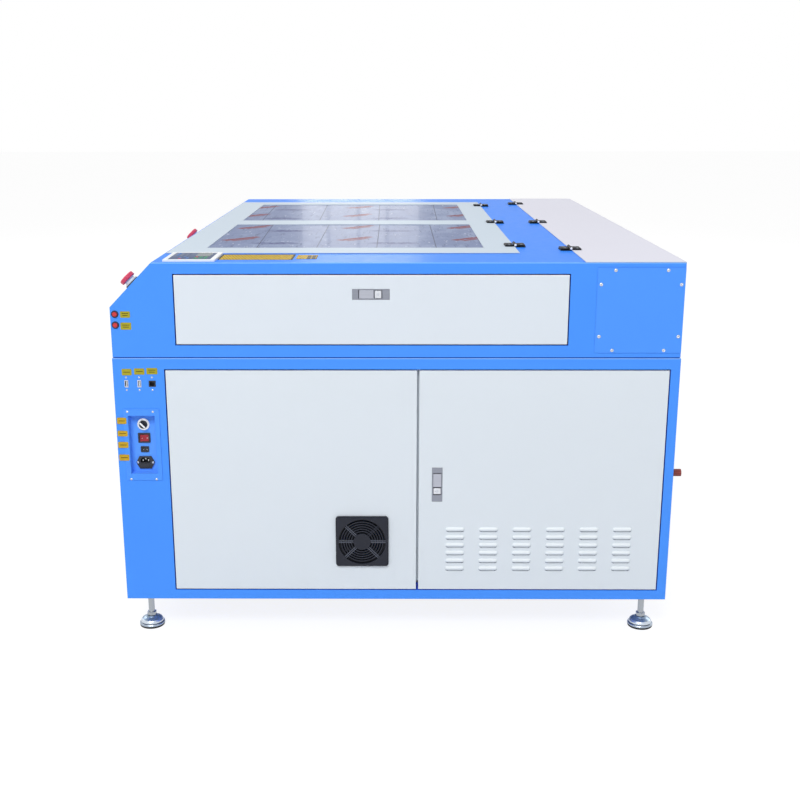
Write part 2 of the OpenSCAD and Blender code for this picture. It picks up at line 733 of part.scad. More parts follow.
// Mushroom cap with a dished underside, on its stem
module estop_head(i) color("#e04060") on_slope(estop_x[i], estop_s[i])
    rotate_extrude($fn = 64) {
        polygon(concat(
            [[0, 28.5], [estop_r - 4.5, 28.5], [estop_r - 3.5, 23.8], [estop_r - 1, 23.4], [estop_r, 24.4],
             [estop_r, 30]],
            [for (t = [0:6]) [(estop_r - 0.6) * cos(t * 15), 31 + 3.2 * sin(t * 15)]]));
        translate([0, -30]) square([estop_stem_r, 59]);
    }

// Raised keypad panel on the right-hand strip of the top
module control_panel() color("white") translate([x_end - 17 - keypad_l, ya(keypad_a), z_top]) difference() {
    union() {
        rounded_plate(keypad_l, keypad_w, 4, 4);
        translate([1, 1, 4]) rounded_plate(keypad_l - 2, keypad_w - 2, 1, 3);
    }
    translate([9, 8, 4]) rounded_plate(keypad_l - 18, keypad_w - 20, 2, 2);
}

// ---- Doors, hinges and locks

// Pin at a door's corner; the pin runs along y
module door_pin(up, direction)
    translate([0, up, -pin_inset]) rotate([-90 * direction, 0, 0])
        cylinder(r = pin_r, h = sheet + door_gap + pan_t + 4);

// Fixed leaf of a butt hinge, its pin along x and the leaf towards +y
module fixed_leaf(lift) {
    segment = leaf_l / 3;
    difference() {
        union() {
            translate([-leaf_l / 2, knuckle_r + 0.6, -lift]) cube([leaf_l, leaf_w - knuckle_r - 0.6, leaf_t]);
            for (x = [-leaf_l / 2, leaf_l / 2 - segment + 0.4]) translate([x, 0, 0]) {
                rotate([0, 90, 0]) cylinder(r = knuckle_r, h = segment - 0.4);
                translate([0, 0, -lift]) cube([segment - 0.4, knuckle_r + 0.7, leaf_t]);
                translate([0, 0, -lift]) cube([segment - 0.4, knuckle_r - 0.6, lift]);
            }
        }
        rotate([0, 90, 0]) cylinder(r = hinge_pin_r + 0.01, h = leaf_l + 2, center = true);
    }
    rotate([0, 90, 0]) cylinder(r = hinge_pin_r, h = leaf_l + 1, center = true);
}

// The leaf on the moving side, towards -y
module moving_leaf(lift) {
    segment = leaf_l / 3;
    difference() {
        union() {
            rotate([0, 90, 0]) cylinder(r = knuckle_r, h = segment - 0.8, center = true);
            translate([-leaf_l / 2, -leaf_w, -lift]) cube([leaf_l, leaf_w - knuckle_r - 0.6, leaf_t]);
            translate([-segment / 2 + 0.8, -knuckle_r - 0.7, -lift])
                cube([segment - 1.6, knuckle_r + 1.6, leaf_t]);
        }
        rotate([0, 90, 0]) cylinder(r = hinge_pin_r + run_fit, h = leaf_l, center = true);
    }
}

module at_lid_hinges() for (x = [-lid_hinge_x, 0, lid_hinge_x])
    translate([x, ya(lid_axis_a), z_top + top_axis]) children();
module at_cover_hinges() for (x = [-cover_hinge_x, 0, cover_hinge_x])
    translate([x, ya(cover_a - 2), z_top + top_axis]) children();

module fixed_hinges() color(black) {
    at_lid_hinges() fixed_leaf(top_axis);
    at_cover_hinges() rotate([0, 0, 180]) fixed_leaf(top_axis);
    on_end() translate([service_a + service_w - pin_inset, 0, 0]) {
        door_pin(zone_u1 + sheet, -1);
        door_pin(low_rail - sheet, 1);
    }
    on_front() translate([face_l / 2 - door_gap - pin_inset, 0, 0]) {
        door_pin(zone_u1 + sheet, -1);
        door_pin(low_rail - sheet, 1);
    }
    on_upper_end() translate([0, end_door_up + door_gap + pin_inset, 0]) {
        translate([end_door_a - sheet, 0, 0]) rotate([0, 0, -90]) door_pin(0, 1);
        translate([body_d - end_door_rear + sheet, 0, 0]) rotate([0, 0, -90]) door_pin(0, -1);
    }
}

module lid_hinge_leaves() color(black) at_lid_hinges() moving_leaf(knuckle_r + 0.3);
module cover_hinge_leaves() color(black) at_cover_hinges() rotate([0, 0, 180]) moving_leaf(knuckle_r + 0.3);

// A door pan with bores for its pins at both ends of the edge at x = w
module side_hung_door(w, h) difference() {
    pan(w, h, door_depth);
    for (y = [pan_t / 2, h - pan_t / 2])
        translate([w - pin_inset, y, -pin_inset]) rotate([90, 0, 0])
            cylinder(r = pin_r + run_fit, h = pan_t + 2 * eps, center = true);
}

module lock_window() translate([-lock_l / 2 - 0.2, -lock_w / 2 - 0.2, -pan_t - eps])
    cube([lock_l + 0.4, lock_w + 0.4, pan_t + 2 * eps]);

// One pressed louvre: a capsule sunk in the sheet, open along its lower flank
module louvre_skin(inset) {
    r = louvre_r - inset;
    half = louvre_l / 2 - inset;
    steps = 4;
    translate([0, 0, louvre_rise - louvre_r]) rotate([0, 90, 0]) rotate_extrude($fn = 24)
        polygon(concat(
            [[0, -half]],
            [for (i = [1:steps]) [r * sin(i * 90 / steps), -half + r * (1 - cos(i * 90 / steps))]],
            [for (i = [steps:-1:1]) [r * sin(i * 90 / steps), half - r * (1 - cos(i * 90 / steps))]],
            [[0, half]]));
}

module at_louvres()
    for (i = [0:louvre_columns - 1], j = [0:louvre_rows - 1])
        translate([louvre_a - service_a + i * louvre_pitch_a,
                   louvre_up - low_rail - door_gap + j * louvre_pitch_up, 0]) children();

module service_door() color(pale)
    on_end() translate([service_a, low_rail + door_gap, 0]) difference() {
        union() {
            side_hung_door(service_w, door_h);
            at_louvres() intersection() {
                louvre_skin(0);
                translate([-louvre_l, -louvre_r, -pan_t / 2])
                    cube([2 * louvre_l, 2 * louvre_r, 2 * louvre_rise]);
            }
        }
        at_louvres() intersection() {
            louvre_skin(louvre_wall);
            translate([-louvre_l, -louvre_r, -pan_t - eps]) cube([2 * louvre_l, 2 * louvre_r, 2 * louvre_r]);
        }
        at_louvres() translate([-louvre_l / 2 + 9, -louvre_r, 0]) cube([louvre_l - 18, 3.2, louvre_rise]);
        translate([service_lock_a - service_a, service_lock_up - low_rail - door_gap, 0])
            rotate([0, 0, -90]) lock_window();
    }
louvre_wall = 1.1;

module end_door() color(pale)
    on_upper_end() translate([end_door_a + door_gap, end_door_up + door_gap, 0]) difference() {
        pan(end_door_w, end_pan_h, door_depth);
        for (x = [pan_t / 2, end_door_w - pan_t / 2])
            translate([x, pin_inset, -pin_inset]) rotate([0, 90, 0])
                cylinder(r = pin_r + run_fit, h = pan_t + 2 * eps, center = true);
        translate([end_lock_a - end_door_a - door_gap, end_lock_up - end_door_up - door_gap, 0])
            lock_window();
    }

module front_door() color(pale)
    on_front() translate([split_gap / 2, low_rail + door_gap, 0]) difference() {
        side_hung_door(half_pan_w, door_h);
        translate([cam_inset, cam_up, -pan_t - eps]) cylinder(r = cam_r + run_fit, h = pan_t + 2 * eps);
    }
cam_inset = 40;
cam_up = 400;
cam_r = 9.5;

module front_cam_lock() color(steel)
    on_front() translate([split_gap / 2 + cam_inset, low_rail + door_gap + cam_up, 0]) difference() {
        union() {
            translate([0, 0, 0.3]) cylinder(r = cam_r + 2.5, h = 2);
            translate([0, 0, -door_depth + 2]) cylinder(r = cam_r, h = door_depth);
            translate([-7, -7, -door_depth]) cube([14, 28, 2.5]);
        }
        translate([-1.2, -5, 0]) cube([2.4, 10, 3]);
    }

// Places of the two plane locks: x runs from the paddle to the button
module at_end_lock() on_upper_end() translate([end_lock_a, end_lock_up, 0]) children();
module at_service_lock()
    on_end() translate([service_lock_a, service_lock_up, 0]) rotate([0, 0, -90]) children();

paddle_x0 = -28.5;
paddle_pin_x = 2.5; // pin's distance from the paddle's end
paddle_pin_z = -5;
paddle_pin_r = 1.2;
lock_button_x = 9.5;
lock_button_stem_r = 3;
lock_floor = -13;

module lock_body() color(steel) difference() {
    union() {
        translate([-lock_l / 2, -lock_w / 2, lock_floor - 2])
            cube([lock_l, lock_w, 2 - lock_floor - lock_sink]);
        translate([-lock_l / 2 - 6, -lock_w / 2, -pan_t - 1.5]) cube([lock_l + 12, lock_w, 1.5]);
    }
    translate([-31, -10.4, lock_floor]) cube([59, 20.8, 20]);
    translate([paddle_x0 + paddle_pin_x, 0, paddle_pin_z]) rotate([90, 0, 0])
        cylinder(r = paddle_pin_r + run_fit, h = lock_w - 3, center = true);
    translate([lock_button_x + lock_button_l / 2, 0, lock_floor - 4])
        cylinder(r = lock_button_stem_r + run_fit, h = 6);
}

module lock_paddle() color(steel) {
    translate([paddle_x0, -10, paddle_pin_z]) cube([paddle_l, 20, -paddle_pin_z - lock_sink - 0.3]);
    translate([paddle_x0 + paddle_pin_x, 0, paddle_pin_z]) rotate([90, 0, 0]) {
        cylinder(r = 2.2, h = 20, center = true);
        cylinder(r = paddle_pin_r, h = lock_w - 4, center = true);
    }
}

module lock_button() color("#e4e8ec") {
    translate([lock_button_x, -9, -8]) cube([lock_button_l, 18, 8 - 0.3]);
    translate([lock_button_x + lock_button_l / 2, 0, lock_floor - 5])
        cylinder(r = lock_button_stem_r, h = -lock_floor - 2);
}

module end_lock() at_end_lock() lock_body();
module end_lock_paddle() at_end_lock() lock_paddle();
module end_lock_button() at_end_lock() lock_button();
module service_lock() at_service_lock() lock_body();
module service_lock_paddle() at_service_lock() lock_paddle();
module service_lock_button() at_service_lock() lock_button();

// ---- Lid and rear cover

// A lid sheet over an opening, with a folded flange round its underside
module cover_sheet(x0, y0, l, d, lap) {
    translate([x0, y0, z_top + seat_gap]) cube([l, d, lid_t]);
    difference() {
        translate([x0 + lap + 4, y0 + lap + 4, z_top + seat_gap - lid_flange])
            cube([l - 2 * lap - 8, d - 2 * lap - 8, lid_flange]);
        translate([x0 + lap + 4 + lid_t, y0 + lap + 4 + lid_t, z_top + seat_gap - lid_flange - eps])
            cube([l - 2 * lap - 8 - 2 * lid_t, d - 2 * lap - 8 - 2 * lid_t, lid_flange + eps]);
    }
}

module at_windows() for (x = [-window_bar / 2 - window_l, window_bar / 2])
    translate([x, ya(lid_front + window_front), 0]) children();

module lid_frame() color("#cfdce6") {
    difference() {
        cover_sheet(-lid_l / 2, ya(lid_front), lid_l, lid_d, lid_lap);
        at_windows() translate([0, 0, z_top - eps]) cube([window_l, window_d, lid_t + 3 * eps]);
    }
    // brackets for the gas struts
    for (x = [-1, 1]) translate([x * strut_bracket_x, ya(lid_axis_a - strut_reach), z_top + seat_gap]) {
        translate([-lid_t / 2, -12, -lid_strut_drop - 8]) cube([lid_t, 24, lid_strut_drop + 8]);
        translate([0, 0, -lid_strut_drop]) rotate([0, -90 * x, 0])
            cylinder(r = stud_r, h = strut_bracket_x - strut_x - strut_eye_t / 2 - 0.5);
    }
}

module lid_windows() color([0.45, 0.52, 0.72, 0.6])
    at_windows() translate([-window_lap, -window_lap, z_top + seat_gap - window_t])
        cube([window_l + 2 * window_lap, window_d + 2 * window_lap, window_t]);

module rear_cover() color(lilac)
    cover_sheet(-x_end + seam_step + 1, ya(cover_a), body_l - 2 * seam_step - 2, cover_w - seam_step,
                bay_margin);

// Gas struts: barrel pivots on the housing, rod end stands beside the lid's stud
strut_a = 440; // across of the barrel's stud
strut_drop = 52; // depth of the barrel's stud below the top
strut_reach = 230; // distance of the lid's stud from the hinge
lid_strut_drop = 22; // depth of the lid's stud below the lid sheet
lid_open_half = lid_l / 2 - lid_lap;
strut_x = lid_open_half - 22;
strut_bracket_x = lid_open_half - 7;
strut_eye_t = 8;
strut_eye_r = 9;
stud_r = 4;
strut_run = lid_axis_a - strut_reach - strut_a; // closed strut, horizontal and vertical spans
strut_climb = strut_drop - lid_strut_drop + seat_gap;
strut_l = sqrt(strut_run * strut_run + strut_climb * strut_climb);
strut_tilt = atan(strut_climb / strut_run);
barrel_l = 235;

module at_struts() for (x = [-strut_x, strut_x])
    translate([x, ya(strut_a), z_top - strut_drop]) rotate([strut_tilt, 0, 0]) children();

module strut_barrels() color(black) at_struts() difference() {
    union() {
        rotate([0, 90, 0]) cylinder(r = strut_eye_r, h = strut_eye_t, center = true);
        rotate([-90, 0, 0]) cylinder(r = 4, h = 24);
        translate([0, 16, 0]) rotate([-90, 0, 0]) cylinder(r = 10, h = barrel_l);
    }
    rotate([0, 90, 0]) cylinder(r = stud_r + run_fit, h = strut_eye_t + 2, center = true);
    translate([0, 24, 0]) rotate([-90, 0, 0]) cylinder(r = rod_r + run_fit, h = barrel_l);
}
rod_r = 4.5;

module strut_rods() color("#c8ccd2") at_struts() {
    translate([0, 24 + 4, 0]) rotate([-90, 0, 0]) cylinder(r = rod_r, h = strut_l - 28 - strut_eye_r + 2);
    translate([0, strut_l, 0]) difference() {
        rotate([0, 90, 0]) cylinder(r = strut_eye_r, h = strut_eye_t, center = true);
        rotate([0, 90, 0]) cylinder(r = stud_r + 0.3, h = strut_eye_t + 2, center = true);
    }
}

// ---- Cooling fan behind its guard

module at_fan() on_end() translate([fan_a, fan_up, 0]) children();

module fan_guard() color("#2c3140") at_fan() {
    difference() {
        union() {
            translate([-guard_w / 2, -guard_w / 2, 0]) rounded_plate(guard_w, guard_w, guard_t - 3, 8);
            translate([3 - guard_w / 2, 3 - guard_w / 2, 0])
                rounded_plate(guard_w - 6, guard_w - 6, guard_t, 6);
        }
        translate([0, 0, -eps]) cylinder(r = guard_w / 2 - 7, h = guard_t + 2 * eps);
    }
    translate([0, 0, 2]) {
        cylinder(r = 22, h = guard_t - 3);
        for (r = [27.5:6.4:guard_w / 2 - 12]) difference() {
            cylinder(r = r + 1.6, h = guard_t - 4);
            translate([0, 0, -eps]) cylinder(r = r - 1, h = guard_t);
        }
        // paired bars to both sides and to the corners
        for (k = [0, 45, 135, 180, 225, 315], side = [-1, 1]) rotate([0, 0, k])
            translate([20, side * 2.2 - 0.7, 0]) cube([guard_w / 2 - 26.5, 1.4, guard_t - 3.6]);
    }
}

module fan_frame() color(black) at_fan() translate([0, 0, -pan_t - fan_t]) {
    difference() {
        translate([-fan_w / 2, -fan_w / 2, 0]) rounded_plate(fan_w, fan_w, fan_t, 5);
        translate([0, 0, -eps]) cylinder(r = fan_w / 2 - 3, h = fan_t + 2 * eps);
    }
    difference() {
        union() {
            cylinder(r = 27, h = 4);
            for (k = [0:90:270]) rotate([0, 0, k + 20]) translate([25, -2.5, 0]) cube([fan_w / 2 - 27, 5, 4]);
            translate([0, 0, 4]) cylinder(r = 8, h = 8);
        }
        translate([0, 0, -eps]) cylinder(r = fan_shaft_r + run_fit, h = 20);
    }
}
fan_shaft_r = 2.5;

module fan_rotor() color("#33363c") at_fan() translate([0, 0, -pan_t - fan_t]) {
    difference() {
        translate([0, 0, 6]) cylinder(r = 26, h = fan_t - 10);
        translate([0, 0, 5]) cylinder(r = 23, h = fan_t - 12);
    }
    translate([0, 0, 1]) cylinder(r = fan_shaft_r, h = fan_t - 7);
    for (k = [0:360 / 7:359]) rotate([0, 0, k]) translate([0, 0, fan_t / 2 + 1]) rotate([38, 0, 0])
        translate([24, -14, -0.8]) cube([fan_w / 2 - 30, 28, 1.6]);
}

// ---- Bed and tray

tray_x = x_end - 155; // half length of the bed's frame
tray_a1 = lid_rear + 30;
tray_rim = 30;
hopper_drop = 280;
hopper_t = 1.5;
hopper_collar = 6;
bed_a0 = rail_a0;

// Section of the hopper: short collar, then sloping sides, set in by t
module hopper_outline(t, top) {
    w = tray_a1 - bed_a0 - 2 * tray_rim;
    slant = w / 4 / (hopper_drop - hopper_collar);
    side = t * sqrt(1 + slant * slant);
    bend = -hopper_collar + (side - t) / slant;
    foot = side + slant * (hopper_drop - hopper_collar - t);
    polygon([[t, top], [t, bend], [foot, t - hopper_drop], [w - foot, t - hopper_drop], [w - t, bend],
             [w - t, top]]);
}

module work_tray() color("#8f959d") {
    // rim that carries the slats
    difference() {
        translate([-tray_x, ya(bed_a0), z_seam]) cube([2 * tray_x, tray_a1 - bed_a0, bed_up]);
        translate([-tray_x + tray_rim, ya(bed_a0 + tray_rim), z_seam - eps])
            cube([2 * (tray_x - tray_rim), tray_a1 - bed_a0 - 2 * tray_rim, bed_up + 2 * eps]);
        translate([-tray_x + 2, ya(bed_a0) + 2, z_seam + 2])
            cube([2 * tray_x - 4, tray_a1 - bed_a0 - 4, bed_up - 4]);
        slat_slots();
    }
    // hopper under the bed
    translate([-tray_x + tray_rim, ya(bed_a0 + tray_rim), z_seam]) rotate([90, 0, 90]) difference() {
        linear_extrude(2 * (tray_x - tray_rim)) hopper_outline(0, 1);
        translate([0, 0, hopper_t]) linear_extrude(2 * (tray_x - tray_rim) - 2 * hopper_t)
            hopper_outline(hopper_t, 3);
    }
}

slat_h = 30;
slat_count = floor((2 * (tray_x - tray_rim) - 40) / slat_pitch);
slat_a0 = bed_a0 + tray_rim - 14;
slat_a1 = tray_a1 - tray_rim + 14;

module at_slats() for (i = [0:slat_count])
    translate([(i - slat_count / 2) * slat_pitch, 0, 0]) children();

module slat_slots() at_slats()
    translate([-slat_t / 2 - 0.2, ya(slat_a0) - 0.3, z_seam + bed_up - slat_h])
        cube([slat_t + 0.4, slat_a1 - slat_a0 + 0.6, slat_h + eps]);

// Knife slats: strips bevelled to a ridge along the top
module bed_slats() color("#a9afb6") at_slats()
    translate([0, ya(slat_a1), z_seam + bed_up - slat_h]) rotate([90, 0, 0]) linear_extrude(slat_a1 - slat_a0)
        polygon([[-slat_t / 2, 0], [slat_t / 2, 0], [slat_t / 2, slat_h - 4], [0.4, slat_h], [-0.4, slat_h],
                 [-slat_t / 2, slat_h - 4]]);

// ---- Motion system

// Side beams on stands, each with a ground rail on top
module linear_rails() color(steel) both_ends() {
    translate([rail_x - 20, ya(rail_a0), rail_top - 55]) difference() {
        cube([40, rail_end - rail_a0, 40]);
        translate([3, -eps, 3]) cube([34, rail_end - rail_a0 + 2 * eps, 34]);
    }
    for (a = [rail_a0 + 20, (rail_a0 + rail_end) / 2, rail_end - 80])
        translate([rail_x - 25, ya(a), z_seam]) cube([50, 60, rail_top - 55 - z_seam]);
    translate([rail_x, ya(rail_end), rail_top - 15]) rotate([90, 0, 0]) linear_extrude(rail_end - rail_a0)
        polygon([[-rail_w / 2, 0], [rail_w / 2, 0], [rail_w / 2, 5], [rail_w / 2 - 3, 8], [rail_w / 2, 11],
                 [rail_w / 2, 15], [-rail_w / 2, 15], [-rail_w / 2, 11], [3 - rail_w / 2, 8],
                 [-rail_w / 2, 5]]);
}
rail_end = lid_rear + 48;

// Solid inside a belt's outline, its axes along z
module belt_core(r, span, height) {
    cylinder(r = r, h = height, center = true);
    translate([-span, 0, 0]) cylinder(r = r, h = height, center = true);
    translate([-span, -r, -height / 2]) cube([span, 2 * r, height]);
}

module belt(r, span, width) difference() {
    belt_core(r + belt_clear + belt_t, span, width);
    belt_core(r + belt_clear, span, width + 2 * eps);
}
belt_t = 2;
belt_clear = 0.3; // gap between a belt and its pulley

module drive_belts() {
    color(black) both_ends() translate([belt_x, ya(shaft_a), shaft_z]) rotate([90, 0, 90])
        belt(pulley_r, shaft_a - idler_a, belt_w);
    // front idlers on their pins and brackets
    color(steel) both_ends() translate([belt_x, ya(idler_a), shaft_z]) {
        rotate([0, 90, 0]) {
            cylinder(r = pulley_r, h = belt_w, center = true);
            cylinder(r = 5, h = belt_w / 2 + 4);
        }
        translate([belt_w / 2 + 2, -15, z_seam + sheet - shaft_z]) {
            cube([8, 30, shaft_z - z_seam + 14]);
            cube([x_end - seam_step - sheet - belt_x - belt_w / 2 - 2, 30, 4]);
        }
    }
}

// Shaft with flanged pulleys, and a coupling on each side of the motor
module drive_shaft() color(steel) translate([0, ya(shaft_a), shaft_z]) rotate([0, 90, 0]) {
    cylinder(r = shaft_r, h = 2 * belt_x + 40, center = true);
    for (x = [-belt_x, belt_x]) translate([0, 0, x]) {
        cylinder(r = pulley_r, h = belt_w, center = true);
        for (side = [-1, 1]) translate([0, 0, side * (belt_w / 2 + 1.4)])
            cylinder(r = pulley_r + 5, h = 1.6, center = true);
    }
    for (x = [-64, 64]) translate([0, 0, x]) cylinder(r = 14, h = 34, center = true);
}

motor_w = 57;
motor_l = 76;
block_x = belt_x - 30;

// Stepper motor on its bracket, and the shaft's bearing blocks
module axis_motor() translate([0, ya(shaft_a), 0]) {
    color(black) translate([0, 0, shaft_z]) difference() {
        translate([-motor_l / 2, -motor_w / 2, -motor_w / 2]) cube([motor_l, motor_w, motor_w]);
        rotate([0, 90, 0]) cylinder(r = shaft_r + run_fit, h = motor_l + 2 * eps, center = true);
        for (y = [-1, 1], z = [-1, 1]) translate([0, y * motor_w / 2, z * motor_w / 2])
            cube([motor_l - 24, 8, 8], center = true);
    }
    color("#8b9097") {
        translate([-30, -motor_w / 2, z_seam + sheet]) cube([60, motor_w, 5]);
        for (x = [-30, 26]) translate([x, -motor_w / 2, z_seam + sheet])
            cube([4, motor_w, shaft_z - motor_w / 2 - z_seam - sheet]);
    }
    color("#8b9097") for (x = [-block_x, block_x]) translate([x, 0, 0]) difference() {
        union() {
            translate([-8, -17, z_seam + sheet]) cube([16, 34, shaft_z - z_seam - sheet]);
            translate([0, 0, shaft_z]) rotate([0, 90, 0]) cylinder(r = 17, h = 16, center = true);
        }
        translate([0, 0, shaft_z]) rotate([0, 90, 0]) cylinder(r = shaft_r + run_fit, h = 18, center = true);
    }
}

// Gantry: beam, rail saddles, head rail, and the head's belt and motor
saddle_l = 90;
head_motor_w = 42;
head_belt_x = rail_x - 54; // places of the head belt's pulley and idler
head_belt_a = gantry_a + beam_w / 2 + head_motor_w / 2;
head_pulley_r = 12;
head_belt_z = beam_z + beam_h + 8;

module gantry_beam() {
    color("#c3c8ce") translate([-rail_x + 22, ya(gantry_a) - beam_w / 2, beam_z]) difference() {
        cube([2 * rail_x - 44, beam_w, beam_h]);
        translate([-eps, frame_wall, frame_wall])
            cube([2 * rail_x, beam_w - 2 * frame_wall, beam_h - 2 * frame_wall]);
    }
    color("#7f858d") both_ends() translate([rail_x, ya(gantry_a), rail_top]) {
        // saddle astride the rail
        difference() {
            translate([-22, -saddle_l / 2, -12]) cube([44, saddle_l, 12 + 6 + beam_h]);
            translate([-rail_w / 2 - 0.3, -saddle_l / 2 - eps, -12 - eps])
                cube([rail_w + 0.6, saddle_l + 2 * eps, 12 + eps + 0.3]);
        }
        // clamp over the belt's upper run
        translate([22, -12, shaft_z + pulley_r + 3 - rail_top]) {
            cube([belt_x - rail_x - 15, 24, 5]);
            cube([6, 24, rail_top + 3 - shaft_z - pulley_r]);
        }
    }
    // head rail on the beam's front
    color(steel) translate([-rail_x + 40, ya(gantry_a) - beam_w / 2 - 9, beam_z + beam_h / 2 - 6])
        cube([2 * rail_x - 80, 9, 12]);
    // motor behind the beam at the right
    color(black) translate([head_belt_x, ya(head_belt_a), beam_z - 4]) difference() {
        translate([-head_motor_w / 2, -head_motor_w / 2, 0]) cube([head_motor_w, head_motor_w, beam_h + 2]);
        translate([0, 0, beam_h - 12]) cylinder(r = 3 + run_fit, h = 15);
    }
    // idler at the left on its bracket, and the belt
    color(steel) translate([-head_belt_x, ya(head_belt_a), beam_z + beam_h]) {
        translate([-16, -head_motor_w / 2, -6]) cube([32, head_motor_w, 6]);
        cylinder(r = 4, h = 15);
        translate([0, 0, 2]) cylinder(r = head_pulley_r, h = 12);
    }
    color(black) translate([head_belt_x, ya(head_belt_a), head_belt_z])
        belt(head_pulley_r, 2 * head_belt_x, 8);
    // second mirror on an arm from the left-hand saddle
    color("#c9a24a") translate([-mirror_x, ya(optic_a), tube_z]) {
        translate([-14, -14, -20]) cube([mirror_x - rail_x - 22 + 14, gantry_a - optic_a + 30, 5]);
        translate([-14, -14, -20]) cube([28, 10, 22]);
        rotate([90, 0, -45]) cylinder(r = 13, h = 6, center = true);
    }
}

// Pulley of the head's belt, its shaft down into the motor
module x_pulley() color(steel) translate([head_belt_x, ya(head_belt_a), head_belt_z]) {
    cylinder(r = head_pulley_r, h = 12, center = true);
    translate([0, 0, -20]) cylinder(r = 3, h = 15);
}

head_x = rail_x - 140; // middle of the head at the right-hand end of its travel
head_a = gantry_a - beam_w / 2 - 9;
optic_a = head_a - 45; // across of the second and third mirrors
lens_r = 12.5;
mirror_block = 38;

// Carriage on the head rail, with the block whose mirror turns the beam down
module head_carriage() color("#9a3038") translate([head_x, ya(head_a), 0]) difference() {
    union() {
        difference() {
            translate([-40, -20, beam_z - 4]) cube([80, 28.7, beam_h + 2]);
            translate([-41, -0.3, beam_z + beam_h / 2 - 6.3]) cube([82, 30, 12.6]);
        }
        translate([-22, -66, beam_z - 10]) cube([44, 46.5, beam_h + 5]);
        // mirror block, its upper corner cut at 45 degrees
        translate([0, -45, tube_z]) difference() {
            translate([-mirror_block / 2, -mirror_block / 2, -mirror_block / 2 + 7])
                cube([mirror_block, mirror_block, mirror_block - 14]);
            translate([mirror_block / 2, 0, mirror_block / 2 - 7]) rotate([0, 45, 0])
                cube([16, mirror_block + 2 * eps, 30], center = true);
        }
        // plate over the beam to the belt
        translate([-20, -20, beam_z + beam_h - 4]) cube([40, 16, 10]);
        translate([-20, -20, beam_z + beam_h + 2]) cube([40, 20 + 9 + beam_w + belt_plate, 4]);
    }
    translate([0, -45, beam_z - 11]) cylinder(r = lens_r + run_fit, h = beam_h - 2);
    translate([0, -45, beam_z - 11]) cylinder(r = 5, h = tube_z - beam_z + 11);
    translate([0, -45, tube_z]) rotate([0, -90, 0]) cylinder(r = 5, h = mirror_block);
}
belt_plate = head_motor_w / 2 - head_pulley_r - belt_clear - belt_t - 0.7;

// Lens tube with its nozzle, held in the carriage's clamp
module lens_tube() color("#c9a24a") translate([head_x, ya(head_a) - 45, 0]) difference() {
    union() {
        translate([0, 0, beam_z - 22]) cylinder(r = lens_r, h = 37);
        translate([0, 0, beam_z - 27]) cylinder(r = lens_r + 2.5, h = 5);
        translate([0, 0, beam_z - 46]) cylinder(r1 = 3.5, r2 = lens_r - 1, h = 19);
    }
    translate([0, 0, beam_z - 47]) cylinder(r = 1.2, h = 40);
    translate([0, 0, beam_z - 20]) cylinder(r = lens_r - 2, h = 40);
}

// ---- Laser tube

tube_a = cover_a + 128;
tube_z = z_seam + beam_up;

// Glass tube: water jacket with a neck and electrode at each end
module laser_tube() color([0.8, 0.86, 0.92, 0.5])
    translate([-tube_l / 2, ya(tube_a), tube_z]) rotate([0, 90, 0]) rotate_extrude($fn = 64)
        polygon([[0, 0], [12, 0], [12, 30], [28, 34], [28, 60], [tube_r - 4, 78], [tube_r, 90],
                 [tube_r, tube_l - 90], [tube_r - 4, tube_l - 78], [28, tube_l - 60], [28, tube_l - 34],
                 [12, tube_l - 30], [12, tube_l], [0, tube_l]]);

holder_x = 520; // distance of a tube holder from the middle

// Floor of the tube bay, two cradles, and the first mirror
module tube_mounting() {
    color("#3a3d42") {
        difference() {
            translate([-mirror_x - 40, ya(shaft_a) - post_w / 2, z_seam])
                cube([2 * mirror_x + 80, body_d - frame_inset - shaft_a + post_w / 2 - 4, sheet]);
            // slots for the wiring
            for (x = [-250, 250]) translate([x - 60, ya(wall_a) + 25, z_seam - eps])
                cube([120, 24, sheet + 2 * eps]);
        }
        for (x = [-holder_x, holder_x]) translate([x - 12, ya(tube_a), 0]) difference() {
            union() {
                translate([0, -30, z_seam + sheet]) cube([24, 60, beam_up - sheet]);
                translate([0, 0, tube_z]) rotate([0, 90, 0]) cylinder(r = tube_r + 7, h = 24, $fn = 64);
                translate([0, -60, z_seam + sheet]) cube([24, 120, 8]);
            }
            translate([-eps, 0, tube_z]) rotate([0, 90, 0]) cylinder(r = tube_r + 0.3, h = 26, $fn = 64);
        }
    }
    color("#c9a24a") translate([-mirror_x, ya(tube_a), z_seam + sheet]) {
        translate([-16, -60, 0]) cube([32, 90, 6]);
        translate([-14, 6, 0]) cube([28, 10, beam_up + 16]);
        translate([0, 2, beam_up - sheet]) rotate([90, 0, 45]) cylinder(r = 13, h = 8, center = true);
    }
}

// ---- Rear fittings

// Exhaust duct spigot: flange outside the rear panel, pipe to the hopper
module exhaust_collar() color("#c2c6cb") on_rear() translate([collar_x, collar_up, 0]) difference() {
    union() {
        cylinder(r = collar_r, h = collar_reach, $fn = 96);
        translate([0, 0, -duct_l]) cylinder(r = collar_r, h = duct_l + eps, $fn = 96);
        cylinder(r = collar_r + 18, h = 1.5, $fn = 96);
    }
    translate([0, 0, -duct_l - eps])
        cylinder(r = collar_r - 1, h = duct_l + collar_reach + 2 * eps, $fn = 96);
}
duct_l = 150;

hose_r = 9.5;
hose_bore_r = 4;
hose_bore_l = 20;
// Places of the hose connectors on the rear: across from the middle, up
hose_places = [[-(x_end - 46), 332], [x_end - 46, 332], [x_end - 46, 272]];

